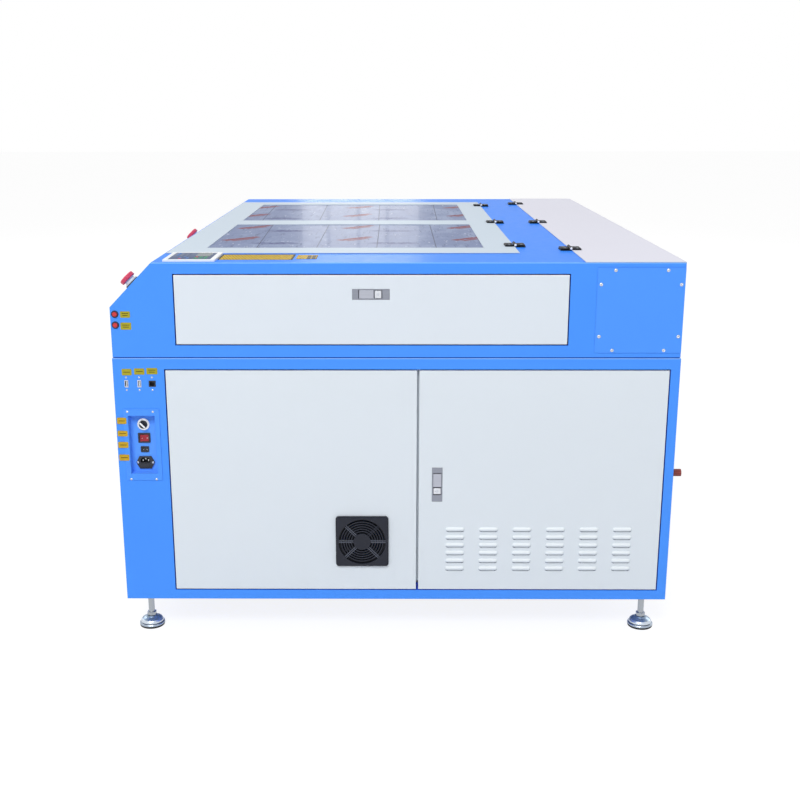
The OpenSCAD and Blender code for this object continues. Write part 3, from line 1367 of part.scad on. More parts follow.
module hose_connectors() color("#8e3b34") for (c = hose_places) on_rear() translate([c[0], c[1], 0]) {
    translate([0, 0, -22]) cylinder(r = hose_r, h = 24);
    cylinder(r = hose_r + 4, h = 3, $fn = 6);
    translate([0, 0, 3]) difference() {
        cylinder(r = hose_r, h = 27);
        for (k = [0:30:330]) rotate([0, 0, k]) translate([hose_r, 0, 5]) cylinder(r = 1, h = 19, $fn = 16);
        translate([0, 0, 27 - hose_bore_l]) cylinder(r = hose_bore_r, h = hose_bore_l + eps);
    }
}

// Mounting plate with the power supplies, drivers and controller
plate_x = x_end - 182;
module electronics() {
    color(steel) translate([plate_x, ya(split_a + 60), z_base + sheet]) {
        translate([0, 0, ring_w]) cube([3, 500, 480]);
        translate([-60, 0, 0]) cube([63, 500, 3]);
        for (a = [0, 470]) translate([-60, a, 3]) cube([63, 30, ring_w - 3]);
    }
    color("#d8d8d2") translate([plate_x + 3, ya(split_a + 90), z_base + 90]) difference() {
        cube([135, 150, 290]);
        for (i = [0:7]) translate([134, 20 + i * 15, 30]) cube([2, 6, 60]);
    }
    color("#c3c7cc") translate([plate_x + 3, ya(split_a + 280), z_base + 90]) cube([50, 115, 215]);
    color(black) for (i = [0, 1])
        translate([plate_x + 3, ya(split_a + 420), z_base + 90 + i * 140]) driver_box();
    color("#2f5fb0") translate([plate_x + 3, ya(split_a + 280), z_base + 350]) cube([38, 200, 130]);
}
module driver_box() {
    cube([10, 118, 75]);
    for (i = [0:7]) translate([10, 4 + i * 14.5, 0]) cube([24, 4, 75]);
}

// ---- Feet

module foot(x, a) color(steel) translate([x, ya(a), 0]) {
    translate([0, 0, 27.3]) cylinder(r = stem_r, h = foot_gap + ring_w - frame_wall - 29);
    translate([0, 0, 28.5]) cylinder(r = 12.5, h = 8.5, $fn = 6);
    // pad: rubber tread, stepped dome
    rotate_extrude($fn = 64)
        polygon([[0, 4], [pad_r, 4], [pad_r, 8], [pad_r - 1.5, 10], [pad_r - 3, 10], [pad_r - 3, 12],
                 [pad_r - 4, 15.5], [pad_r - 7, 19], [pad_r - 12, 22], [pad_r - 17, 24], [13, 27], [0, 27]]);
    cylinder(r = pad_r - 1, h = 4, $fn = 64);
}

foot_x = x_end - foot_inset;
foot_rear_a = body_d - foot_inset;

lower_cabinet();
base_frame();
upper_housing();
fan_panel();
fixed_panels();
tube_end_plates();
power_tray();
panel_fittings();
mains_inlet();
button_bezels();
estop_collars();
control_panel();
fixed_hinges();
fan_guard();
fan_frame();
work_tray();
bed_slats();
linear_rails();
drive_belts();
axis_motor();
laser_tube();
tube_mounting();
exhaust_collar();
hose_connectors();
electronics();
lid_frame();
lid_windows();
lid_hinge_leaves();
rear_cover();
cover_hinge_leaves();
end_door();
end_lock();
end_lock_paddle();
end_lock_button();
service_door();
service_lock();
service_lock_paddle();
service_lock_button();
front_door();
front_cam_lock();
estop_head(0);  // estop_head_right
estop_head(1);  // estop_head_middle
push_button(button_ups[0]);  // push_button_upper
push_button(button_ups[1]);  // push_button_lower
selector_knob();
main_rocker();
small_rocker();
fuse_drawer();
fan_rotor();
gantry_beam();
head_carriage();
lens_tube();
x_pulley();
drive_shaft();
strut_barrels();
strut_rods();
foot(foot_x, foot_inset);  // foot_front_right
foot(-foot_x, foot_inset);  // foot_front_left
foot(foot_x, foot_rear_a);  // foot_rear_right
foot(-foot_x, foot_rear_a);  // foot_rear_left
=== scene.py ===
import math

import bmesh
import bpy
from mathutils import Matrix, Vector


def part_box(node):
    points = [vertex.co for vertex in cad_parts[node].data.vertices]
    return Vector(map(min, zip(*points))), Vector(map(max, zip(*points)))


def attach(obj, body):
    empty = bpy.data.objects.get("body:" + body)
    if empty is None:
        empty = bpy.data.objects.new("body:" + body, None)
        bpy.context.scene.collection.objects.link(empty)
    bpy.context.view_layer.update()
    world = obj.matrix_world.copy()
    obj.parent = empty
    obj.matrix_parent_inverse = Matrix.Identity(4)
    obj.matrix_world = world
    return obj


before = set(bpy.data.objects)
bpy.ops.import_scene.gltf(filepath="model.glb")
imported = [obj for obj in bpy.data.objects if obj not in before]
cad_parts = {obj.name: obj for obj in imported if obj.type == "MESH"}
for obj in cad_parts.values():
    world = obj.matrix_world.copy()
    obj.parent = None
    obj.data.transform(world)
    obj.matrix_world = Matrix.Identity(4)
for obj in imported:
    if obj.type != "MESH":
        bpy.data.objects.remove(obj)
scene = bpy.context.scene
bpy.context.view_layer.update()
mm = 0.001

cabinetLow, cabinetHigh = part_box("lower_cabinet")
housingLow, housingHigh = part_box("upper_housing")
frontY = cabinetLow.y


def face(origin, across=(0, 1, 0), up=(0, 0, 1)):
    # a frame on one of the machine's faces, in millimetres: x across, y up, z outwards
    across, up = Vector(across).normalized(), Vector(up).normalized()
    turn = Matrix((across, up, across.cross(up))).transposed().to_4x4()
    return Matrix.Translation(origin) @ turn @ Matrix.Scale(mm, 4)


def spin(degrees, axis="Z"):
    return Matrix.Rotation(math.radians(degrees), 4, axis)


def at(place, x, y, z=0.0, turn=0.0):
    return place @ Matrix.Translation((x, y, z)) @ spin(turn)


def outside(node):
    # a frame at the middle of a node's side that faces +X
    low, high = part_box(node)
    return face((high.x, (low.y + high.y) / 2, (low.z + high.z) / 2))


endFace = face((cabinetHigh.x, frontY, cabinetLow.z))
upperEnd = face((housingHigh.x, frontY, housingLow.z))
leftEnd = face((cabinetLow.x, frontY, cabinetLow.z), (0, -1, 0))
rearFace = face((0, cabinetHigh.y, cabinetLow.z), (-1, 0, 0))
deck = face((0, frontY, housingHigh.z), (1, 0, 0), (0, 1, 0))
print("frames: cabinet and housing found")


def operation(kind, swapped=False):
    def act(self, other=0.0):
        first, second = (other, self) if swapped else (self, other)
        return self.finish.add("Math", {0: first, 1: second}, operation=kind)
    return act


class Value:
    # a number that varies over a surface; arithmetic on it adds Math nodes
    def __init__(self, finish, socket):
        self.finish, self.socket = finish, socket

    __add__, __radd__ = operation("ADD"), operation("ADD", True)
    __sub__, __rsub__ = operation("SUBTRACT"), operation("SUBTRACT", True)
    __mul__, __rmul__ = operation("MULTIPLY"), operation("MULTIPLY", True)
    __gt__, __lt__ = operation("GREATER_THAN"), operation("LESS_THAN")
    __or__, __abs__ = operation("MAXIMUM"), operation("ABSOLUTE")


class Finish:
    def __init__(self, name, **fixed):
        self.material = bpy.data.materials.new(name)
        self.material.use_nodes = True
        self.tree = self.material.node_tree
        self.tree.nodes.clear()
        sockets = {key.replace("_", " "): value for key, value in fixed.items()}
        self.surface = self.add("BsdfPrincipled", sockets)
        self.out = self.add("OutputMaterial", {"Surface": self.surface}, None)
        self.where = self.add("TexCoord", output="Object")

    def add(self, kind, sockets=None, output=0, **settings):
        node = self.tree.nodes.new("ShaderNode" + kind)
        for key, value in settings.items():
            setattr(node, key, value)
        for key, value in (sockets or {}).items():
            self.join(node, key, value)
        return node if output is None else Value(self, node.outputs[output])

    def join(self, node, key, value):
        if isinstance(value, Value):
            self.tree.links.new(value.socket, node.inputs[key])
        else:
            node.inputs[key].default_value = paint(value) if isinstance(value, str) else value

    def set(self, **sockets):
        for key, value in sockets.items():
            self.join(self.surface.socket.node, key.replace("_", " "), value)
        return self

    def base(self, first, second, factor):
        return self.set(Base_Color=self.mix(first, second, factor))

    def over(self, colour, share):
        # lays one more colour over what feeds the base colour
        under = self.surface.socket.node.inputs["Base Color"].links[0].from_socket
        return self.base(Value(self, under), colour, share)

    def axes(self):
        split = self.add("SeparateXYZ", {0: self.where}, None)
        return [Value(self, output) for output in split.outputs]

    def noise(self, scale, detail=2.0, stretch=None, rough=0.5):
        where = self.where
        if stretch:
            where = self.add("Mapping", {"Vector": where, "Scale": stretch})
        sockets = {"Vector": where, "Scale": scale, "Detail": detail, "Roughness": rough}
        return self.add("TexNoise", sockets)

    def rise(self, value, low, high):
        # 0 below low, 1 above high, smooth between
        sockets = {"Value": value, "From Min": low, "From Max": high}
        return self.add("MapRange", sockets, interpolation_type="SMOOTHSTEP")

    def mix(self, first, second, factor):
        return self.add("Mix", {0: factor, 6: first, 7: second}, 2, data_type="RGBA")

    def shade(self, code, low, high, factor):
        # a written colour between two lightnesses of it
        return self.base(paint(code, low), paint(code, high), factor)

    def edges(self, radius):
        # the normal with softened edges, and 1 where an edge is near
        soft = self.add("Bevel", {"Radius": radius}, samples=4)
        flat = self.add("NewGeometry", output="Normal")
        same = self.add("VectorMath", {0: soft, 1: flat}, "Value", operation="DOT_PRODUCT")
        return soft, self.rise(1 - same, 0.01, 0.25)

    def bump(self, height, distance, strength=1.0, normal=None):
        sockets = {"Height": height, "Distance": distance, "Strength": strength}
        if normal:
            sockets["Normal"] = normal
        return self.add("Bump", sockets)

    def cell(self, value, start, pitch):
        # the distance to the nearest of a row of places, in metres
        turns = (value - start) * (1 / pitch) + 0.5
        return (self.add("Math", {0: turns}, operation="FRACT") - 0.5) * pitch

    def straight(self):
        # 1 for rays that come from the camera, from a mirror or through glass
        kinds = ("Is Camera Ray", "Is Glossy Ray", "Is Transmission Ray")
        camera, glossy, glass = (self.add("LightPath", output=kind) for kind in kinds)
        return camera | glossy | glass

    def inside(self, low, high, mirrored=False):
        # 1 inside a box given by two corners in metres; None leaves a side open
        mask = None
        x, y, z = self.axes()
        for axis, start, end in zip((abs(x) if mirrored else x, y, z), low, high):
            for side in (start is not None and axis > start, end is not None and axis < end):
                if side is not False:
                    mask = side if mask is None else mask * side
        return mask


def paint(code, light=1.0):
    # a written colour as Blender's linear one
    parts = [int(code[i:i + 2], 16) / 255 for i in (1, 3, 5)]
    linear = [part / 12.92 if part < 0.04045 else ((part + 0.055) / 1.055) ** 2.4 for part in parts]
    return (*(min(1.0, part * light) for part in linear), 1.0)


def joined(first, second):
    # either of two masks, where the first may still be missing
    return second if first is None else first | second


# edge radii in metres, the coats' grain, and the ways in which brushed metal is drawn
fineEdge, plainEdge, coatEdge = 0.0006, 0.0008, 0.0016
coatCloud, coatPeel, peelDepth = 3.5, 520, 0.00012
lengthwise, crosswise, sideways = (1, 60, 60), (60, 1, 60), (60, 1, 1)


def powderCoat(name, code, gloss=0.45, spread=0.035, edgeHighlight=1.12, specular=0.3, rows=()):
    # rows: parts of the surface with another tone, as low corner, high corner, mirrored and code
    coat = Finish(name, Specular_IOR_Level=specular)
    soft, edge = coat.edges(coatEdge)
    coat.shade(code, 1 - spread, 1 + spread, coat.noise(coatCloud, 3))
    # painted highlight: the edges are painted lighter
    coat.over(paint(code, edgeHighlight), edge * 0.8)
    for low, high, mirrored, rowCode in rows:
        coat.over(rowCode, coat.inside(low, high, mirrored))
    coat.set(Roughness=gloss + 0.1 * (coat.noise(40, 3) - 0.5))
    return coat.set(Normal=coat.bump(coat.noise(coatPeel, 2), peelDepth, 0.5, soft))


def moulded(name, code, gloss=0.42, grain=1100, depth=0.00006, spread=0.06, edgeHighlight=1.5,
            edgeShare=0.35, specular=0.5):
    plastic = Finish(name, Specular_IOR_Level=specular)
    soft, edge = plastic.edges(fineEdge)
    plastic.shade(code, 1 - spread, 1 + spread, plastic.noise(24, 3))
    # painted highlight: the edges are painted lighter
    plastic.over(paint(code, edgeHighlight), edge * edgeShare)
    plastic.set(Roughness=gloss + 0.12 * (plastic.noise(90, 2) - 0.5))
    return plastic.set(Normal=plastic.bump(plastic.noise(grain, 2), depth, 0.6, soft))


def brushed(name, code, gloss=0.3, stretch=lengthwise):
    metal = Finish(name, Metallic=1.0)
    soft, near = metal.edges(plainEdge)
    grain, cloud = metal.noise(14, 4, stretch), metal.noise(9, 3)
    # painted highlight: the edges are painted lighter
    metal.shade(code, 0.86, 1.08, grain).over(paint(code, 1.25), near * 0.6)
    metal.set(Roughness=gloss + 0.18 * (grain - 0.5) + 0.12 * (cloud - 0.5))
    return metal.set(Normal=metal.bump(grain, 0.00005, 0.4, soft))


def polished(name, code, gloss=0.12):
    metal = Finish(name, Metallic=1.0)
    soft, near = metal.edges(fineEdge)
    metal.shade(code, 0.92, 1.05, metal.noise(30, 3))
    return metal.set(Roughness=gloss + 0.06 * metal.noise(70, 3) + 0.1 * near, Normal=soft)


def wear(finish, *nodes):
    # gives CAD nodes a finish
    for name in nodes:
        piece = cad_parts[name]
        if not piece.material_slots:
            piece.data.materials.append(finish.material)
        for place in piece.material_slots:
            place.material = finish.material


# an open corner of a region
anywhere = (None, None, None)

# the rebates round the doors and panels, and the seam between the two casings, painted dark as painted shade
gaps = {"wide": 3.8, "rebateShade": "#2450d8", "seam": "#2a57b8", "lip": "#8dbdff", "rim": "#7fbcff",
        "deck": "#2f8bff", "behind": 0.9, "deep": 0.03, "edge": 0.0022}
doorLow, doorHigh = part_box("end_door")
panLow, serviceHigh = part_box("fan_panel")[0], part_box("service_door")[1]
wide, shadedRebate = gaps["wide"] * mm, (True, gaps["rebateShade"])
base, top, frontEnd = panLow.z - wide, serviceHigh.z + wide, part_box("front_door")[1].x + wide
rimX, seamZ = housingHigh.x - gaps["edge"], cabinetHigh.z
paintedLightRows = [
    ((gaps["behind"], doorLow.y - wide, doorLow.z - wide),
     (housingHigh.x - mm, doorHigh.y + wide, doorHigh.z + wide), *shadedRebate),
    ((gaps["behind"], panLow.y - wide, base), (cabinetHigh.x - mm, serviceHigh.y + wide, top), *shadedRebate),
    ((None, frontY + mm, base), (frontEnd, frontY + gaps["deep"], top), *shadedRebate),
    ((None, cabinetHigh.y - gaps["deep"], base), (frontEnd, cabinetHigh.y - mm, top), *shadedRebate),
    ((None, None, seamZ + 0.0001), (None, None, seamZ + 0.0026), False, gaps["seam"]),
    # painted highlights: a pale lip just under the seam and a pale rim along the top edges
    ((None, None, seamZ - 0.0016), (None, None, seamZ + 0.0001), False, gaps["lip"]),
    ((rimX, None, housingHigh.z - gaps["edge"]), anywhere, True, gaps["rim"]),
    # painted shade: the top painted a darker blue than the same paint on the ends
    ((None, None, housingHigh.z - 0.0004), (rimX, None, None), True, gaps["deck"])]
wear(powderCoat("cabinetBlue", "#4f96ff", gloss=0.32, specular=0.02, rows=paintedLightRows),
     "lower_cabinet", "upper_housing")

# the pale sheets: doors and panels, lid and rear cover
sheet = {"gloss": 0.5, "spread": 0.012, "edgeHighlight": 1.25}
# a painted highlight: white along the top edges of the doors
topHighlight = ((gaps["behind"], None, doorHigh.z - 0.0016), anywhere, False, "#ffffff")
wear(powderCoat("doorPale", "#d9e1ea", rows=[topHighlight], **sheet), "fixed_panels", "end_door", "front_door")
wear(powderCoat("lidPale", "#c5d3e0", gloss=0.5, spread=0.015, edgeHighlight=1.15), "lid_frame")
wear(powderCoat("coverLilac", "#dcdce8", gloss=0.5, spread=0.012, edgeHighlight=1.1), "rear_cover")
hingeBlack = powderCoat("hingeBlack", "#16181e", gloss=0.5, spread=0.1, edgeHighlight=2.6, specular=0.12)
wear(hingeBlack, "fixed_hinges", "lid_hinge_leaves", "cover_hinge_leaves", "strut_barrels")

# the fan panel, dark in the opening behind the guard
guardLow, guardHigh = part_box("fan_guard")
inset = 0.003
fanRows = [((gaps["behind"], guardLow.y + inset, guardLow.z + inset),
            (cabinetHigh.x + 0.0001, guardHigh.y - inset, guardHigh.z - inset), False, "#14161e")]
wear(powderCoat("fanPanelPale", "#d9e1e9", rows=fanRows, **sheet), "fan_panel")

# painted highlight on the pressed louvres' upper faces and painted shade on their lower faces, lighter and
# darker than the flat sheet
louvres = {"top": "#eff5f9", "under": "#76808f", "proud": 0.0003}
pale = powderCoat("louvrePale", "#d9e1e9", **sheet)
lies = pale.add("TexCoord", output="Normal")
lies = pale.add("SeparateXYZ", {0: lies}, "Z")
raised = pale.inside((cabinetHigh.x + louvres["proud"], None, None), anywhere)
above, below = pale.rise(lies, 0.02, 0.5), pale.rise(0 - lies, 0.15, 0.6)
pale.over(louvres["top"], 0.7 * above * raised).over(louvres["under"], below * raised)
wear(pale, "service_door")

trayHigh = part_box("power_tray")[1]
# painted light: the tray's recess is painted a lighter blue than its plate, offsetting the shade inside it
trayLightRows = [(anywhere, (trayHigh.x - 0.0012, None, None), False, "#5fa2ff")]
wear(powderCoat("trayBlue", "#4f96ff", specular=0.16, rows=trayLightRows), "power_tray")

plasticBlack = moulded("plasticBlack", "#23262f")
wear(moulded("bezelDark", "#2a2238", gloss=0.3), "button_bezels")
# the fan's frame, rotor and guard: strong painted highlights on their edges
fanBlack = {"gloss": 0.5, "edgeHighlight": 5.0, "edgeShare": 0.9, "specular": 0.3}
wear(moulded("guardBlack", "#1c1f29", **fanBlack), "fan_frame", "fan_rotor")
capRed = moulded("capRed", "#dc3f5c", gloss=0.24, depth=0.00002)
wear(moulded("buttonRed", "#cc2a31", gloss=0.12, depth=0.00002), "push_button_upper", "push_button_lower")
wear(moulded("rockerRed", "#a0172a", gloss=0.3, depth=0.00002), "main_rocker")
wear(moulded("bezelWhite", "#f2f5f8", gloss=0.4, spread=0.01), "control_panel")
wear(moulded("hoseRed", "#8e3b34", gloss=0.38), "hose_connectors")
wear(plasticBlack, "small_rocker", "fuse_drawer", "selector_knob")
wear(capRed, "estop_head_right", "estop_head_middle")

# painted highlights along the edges of the guard's paired bars, all but those of the one bar that lies in
# shade
guardBars = {"turns": (0, 45, 135), "away": 2.2, "half": 0.75, "hub": 22.5, "rim": 60.5, "tone": "#6a6f7d"}
guard = moulded("guardBarHighlights", "#1e212c", **fanBlack)
x, y, z = guard.axes()
guardMid = (guardLow + guardHigh) / 2
y, z = y - guardMid.y, z - guardMid.z
barHighlight = None
for turn in guardBars["turns"]:
    sine, cosine = math.sin(math.radians(turn)), math.cos(math.radians(turn))
    off = abs(abs(y * sine - z * cosine) - guardBars["away"] * mm)
    barHighlight = joined(barHighlight, off < guardBars["half"] * mm)
away = y * y + z * z
barHighlight = barHighlight * (away > (guardBars["hub"] * mm) ** 2) * (away < (guardBars["rim"] * mm) ** 2)
barHighlight = barHighlight * (1 - (y > 0) * (z > 0) * (z > y * 0.5))
wear(guard.over(guardBars["tone"], 0.75 * barHighlight), "fan_guard")

wear(brushed("galvanised", "#9aa2ab", gloss=0.45, stretch=(1, 1, 1)), "base_frame", "work_tray")
wear(brushed("shaftSteel", "#b9bec6", gloss=0.25, stretch=sideways),
     "drive_shaft", "x_pulley", "front_cam_lock")
wear(brushed("lockSteel", "#9397a3", gloss=0.4, stretch=crosswise), "end_lock", "service_lock")
wear(brushed("paddleSteel", "#b6b9c5", gloss=0.35, stretch=crosswise),
     "end_lock_paddle", "service_lock_paddle")
wear(polished("buttonSteel", "#dadde4", gloss=0.25), "end_lock_button", "service_lock_button")
wear(polished("chromeBright", "#e6e9ee"), "strut_rods")
wear(polished("lensGold", "#c9a24a", gloss=0.25), "lens_tube")
wear(brushed("ductZinc", "#c2c6cb", gloss=0.4, stretch=(1, 1, 1)), "exhaust_collar")
wear(brushed("carriageRed", "#9a3038", gloss=0.35, stretch=crosswise), "head_carriage")

# rails with a row of counterbored bolts
rails = {"line": 0.81, "first": 0.03, "pitch": 0.06, "bore": 0.0048, "bolt": 0.0036, "thick": 0.0151}
railLow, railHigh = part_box("linear_rails")
rail = Finish("railSteel", Metallic=1.0)
soft, near = rail.edges(plainEdge)
x, y, z = rail.axes()
off, along = abs(x) - rails["line"], rail.cell(y, railLow.y + rails["first"], rails["pitch"])
away = off * off + along * along
top = z > railHigh.z - 0.0005
rail.base("#aeb4bc", "#c3c8cf", rail.noise(14, 4, crosswise))
# painted shade: dark rings round the bolt heads stand for the shade inside the counterbores
rail.over("#1c1d20", top * (away < rails["bore"] ** 2))
rail.over("#6f747b", top * (away < rails["bolt"] ** 2))
# white over the edges is a painted highlight
rail.over("#8b9097", z < railHigh.z - rails["thick"]).over("#ffffff", near * 0.3)
rail.set(Roughness=0.25 + 0.15 * rail.noise(9, 3), Normal=soft)
wear(rail, "linear_rails")

# slats browned by the beam along their top edges
slats = {"ragged": 0.006, "brown": (0.008, 0.001), "tone": "#6b5238"}
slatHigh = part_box("bed_slats")[1]
slat = Finish("slatSteel", Metallic=0.7)
x, y, z = slat.axes()
grain = slat.noise(14, 4, lengthwise)
burnt = z + slats["ragged"] * (slat.noise(30, 4) - 0.5)
burnt = slat.rise(burnt, slatHigh.z - slats["brown"][0], slatHigh.z - slats["brown"][1])
slat.base("#b3b8be", "#cdd1d7", grain)
slat.over(slats["tone"], 0.7 * burnt * slat.rise(slat.noise(8, 3), 0.4, 0.6))
slat.set(Roughness=0.34 + 0.25 * burnt + 0.1 * (grain - 0.5))
slat.set(Normal=slat.bump(grain, 0.00005, 0.4, slat.edges(fineEdge)[0]))
wear(slat, "bed_slats")

# the laser tube's outer glass; its bore, electrodes and caps are pieces of their own
shell = Finish("tubeGlass", Transmission_Weight=0.92, IOR=1.47)
cloud = shell.noise(12, 3)
wear(shell.base("#e6f0f4", "#f7fbfc", cloud).set(Roughness=0.03 + 0.04 * cloud), "laser_tube")
print("finishes: plain ones done")


def layered(name, code, gloss, metal, rows):
    # rows: regions of a node, as low corner, high corner, colour, roughness and metallic
    finish = Finish(name)
    soft, near = finish.edges(plainEdge)
    cloud = finish.noise(30, 3)
    finish.shade(code, 0.93, 1.07, cloud)
    rough, metallic = gloss, metal
    for low, high, rowCode, rowGloss, rowMetal in rows:
        mask = finish.inside(low, high)
        finish.over(finish.mix(paint(rowCode, 0.93), paint(rowCode, 1.07), cloud), mask)
        rough = rough + (rowGloss - rough) * mask
        metallic = metallic + (rowMetal - metallic) * mask
    # white over the edges is a painted highlight
    finish.over("#ffffff", near * 0.12).set(Roughness=rough + 0.1 * (cloud - 0.5), Metallic=metallic)
    return finish.set(Normal=finish.bump(finish.noise(700, 2), 0.00004, 0.5, soft))


black, beltBlack, motorBlack = "#23262f", "#1b1b1e", "#1f2126"
bright, zinc, brassy = "#dfe3e8", "#a7adb5", "#c9a24a"

# collars of the emergency stops: toned by their height over the slope
slope = {"angle": 45.8, "foot": (-0.721, 0.865)}
collars = {"base": 0.0045, "grip": (0.0115, 0.0146)}
lean = math.radians(slope["angle"])
collar = Finish("collarWhite")
x, y, z = collar.axes()
lift = (z - slope["foot"][1]) * math.cos(lean) - (y - slope["foot"][0]) * math.sin(lean)
grip = collar.noise(60, 3) * (lift > collars["grip"][0]) * (lift < collars["grip"][1])
soft, near = collar.edges(fineEdge)
collar.base("#e9ecef", "#cdd2d8", lift < collars["base"])
# the grip band is darker; white over the edges is a painted highlight
collar.over("#b8bec6", grip).over("#ffffff", near * 0.5)
collar.set(Roughness=0.3 + 0.1 * collar.noise(80, 2))
collar.set(Normal=collar.bump(collar.noise(900, 2), 0.00003, 0.5, soft))
wear(collar, "estop_collars")

# end plates of the tube bay: blue faces with rims painted darker as painted shade, and the bright heads of
# their screws
plate = Finish("plateBlue", Specular_IOR_Level=0.16)
x, y, z = plate.axes()
heads = abs(x) > cabinetHigh.x + 0.0001
rim = abs(x) < cabinetHigh.x - 0.0002
soft, near = plate.edges(plainEdge)
plate.base("#4e95ff", "#5299ff", plate.noise(coatCloud, 3))
plate.over("#2f63c4", rim).over("#cfd5de", heads)
plate.set(Metallic=1.0 * heads, Roughness=0.45 - 0.23 * heads)
plate.set(Normal=plate.bump(plate.noise(coatPeel, 2), peelDepth, 0.5, soft))
wear(plate, "tube_end_plates")

# selector bezel and data sockets on the end stile
controls = {"across": 64, "selector": 468, "bezel": 16, "ports": 577.5, "pitch": 32,
            "port": (5.5, 10), "tongue": (1.1, 7.4), "aside": 2.2}


def endSpot(across, up, halfWide, halfHigh):
    # two corners round a place on the end face, for masks
    middle = endFace @ Vector((across, up, 0))
    wide, tall = halfWide * mm, halfHigh * mm
    return (None, middle.y - wide, middle.z - tall), (None, middle.y + wide, middle.z + tall)


bezel = endSpot(controls["across"], controls["selector"], controls["bezel"], controls["bezel"])
socketRows = [(*bezel, "#e6e9ee", 0.2, 0.9)]
for step in (-1, 0):
    middle = controls["across"] + step * controls["pitch"]
    tongue = endSpot(middle - controls["aside"], controls["ports"], *controls["tongue"])
    socketRows.append((*endSpot(middle, controls["ports"], *controls["port"]), "#e9edf4", 0.3, 0.0))
    socketRows.append((*tongue, "#20233a", 0.4, 0.0))
wear(layered("socketsAndBezels", black, 0.42, 0.0, socketRows), "panel_fittings")

# the inlet's three pins
inlet = {"pins": ((-7, 4.5), (7, 4.5), (0, 8.5)), "wide": 0.0012, "tall": 0.0022, "deep": 0.0035}
inletFace = outside("mains_inlet")
pinRows = []
for across, up in inlet["pins"]:
    x, y, z = inletFace @ Vector((across, up, 0))
    pinRows.append(((None, y - inlet["wide"], z - inlet["tall"]),
                    (x - inlet["deep"], y + inlet["wide"], z + inlet["tall"]), bright, 0.25, 1.0))
wear(layered("inletPlastic", black, 0.42, 0.0, pinRows), "mains_inlet")

# the gantry: head belt, pulleys, motor and the mirror's arm
gantry = {"belt": (0.78, 0.016, 0.0045), "sheave": 0.0118, "motor": (0.012, 0.022, 0.008),
          "arm": (0.026, -0.79, 0.05), "beltUp": 0.007}
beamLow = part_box("gantry_beam")[0]
pulleyLow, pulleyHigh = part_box("x_pulley")
beltY, beltZ = (pulleyLow.y + pulleyHigh.y) / 2, (pulleyLow.z + pulleyHigh.z) / 2 + gantry["beltUp"]
long, wide, thick = gantry["belt"]
aside, front, under = gantry["motor"]
drop, armX, armY = gantry["arm"]
beamRows = [
    ((-long, beltY - wide, beltZ - thick), (long, beltY + wide, beltZ + thick), beltBlack, 0.7, 0.0),
    ((-pulleyHigh.x - mm, beltY - gantry["sheave"], None),
     (-pulleyLow.x + mm, beltY + gantry["sheave"], None), zinc, 0.3, 1.0),
    ((pulleyLow.x - aside, beltY - front, None), (pulleyHigh.x + aside, None, beltZ - under),
     motorBlack, 0.4, 0.0),
    ((None, None, beltZ - drop), (armX, beamLow.y + armY, None), brassy, 0.25, 1.0)]
wear(layered("gantryMetals", "#c3c8ce", 0.35, 0.9, beamRows), "gantry_beam")

# the drive's motor: a dark body between two paler ends
motor = {"half": 0.0385, "core": 0.026, "tall": 0.0575, "ends": 0.045}
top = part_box("axis_motor")[1].z
motorRows = [((-motor["half"], None, top - motor["tall"]), (motor["half"], None, None), motorBlack, 0.4, 0.0)]
for start, end in ((-motor["half"], -motor["core"]), (motor["core"], motor["half"])):
    motorRows.append(((start, None, top - motor["ends"]), (end, None, None), "#b4bac2", 0.35, 1.0))
wear(layered("motorMetals", "#8b9097", 0.4, 1.0, motorRows), "axis_motor")

# the gantry's belts, with bright idlers and the zinc posts outside them
belts = {"line": 0.852, "half": 0.0078, "posts": 0.93, "idler": 0.0183, "radius": 0.0158}
shaftLow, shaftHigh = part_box("drive_shaft")
shaftZ, idlerY = (shaftLow.z + shaftHigh.z) / 2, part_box("drive_belts")[0].y + belts["idler"]
inner, outer, arc = belts["line"] - belts["half"], belts["line"] + belts["half"], belts["radius"]
beltRows = []
for side in (-1, 1):
    start, end = sorted((side * outer, side * belts["posts"]))
    beltRows.append(((start, None, None), (end, None, None), zinc, 0.35, 1.0))
    start, end = sorted((side * inner, side * outer))
    low, high = (start, idlerY - arc, shaftZ - arc), (end, idlerY + arc, shaftZ + arc)
    beltRows.append((low, high, bright, 0.3, 1.0))
wear(layered("beltsAndIdlers", beltBlack, 0.7, 0.0, beltRows), "drive_belts")

# the tube's bay: its floor, and the first mirror at the left end
bay = {"floor": 0.0021, "mirror": -0.82}
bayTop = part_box("tube_mounting")[0].z + bay["floor"]
mountRows = [(anywhere, (None, None, bayTop), "#9aa2ab", 0.45, 1.0),
             ((None, None, bayTop), (bay["mirror"], None, None), brassy, 0.25, 1.0)]
wear(layered("tubeCradles", "#2a2c31", 0.45, 0.0, mountRows), "tube_mounting")

# cases in front of the mounting plate: two supplies, the drivers and the controller
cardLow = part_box("electronics")[0]
cardX, cardY, cardZ = cardLow.x + 0.063, cardLow.y, cardLow.z
supplyRows = [
    ((cardX, None, cardZ + 0.085), (None, cardY + 0.19, None), "#c9ccd0", 0.35, 0.9),
    ((cardX, cardY + 0.21, cardZ + 0.085), (None, cardY + 0.345, cardZ + 0.305), "#b9bdc2", 0.35, 1.0),
    ((cardX, cardY + 0.35, cardZ + 0.08), (None, None, cardZ + 0.32), "#26282d", 0.45, 0.0),
    ((cardX, cardY + 0.2, cardZ + 0.34), anywhere, "#2f5fb0", 0.4, 0.0)]
wear(layered("cardsAndSupplies", "#a3a9b0", 0.45, 1.0, supplyRows), "electronics")

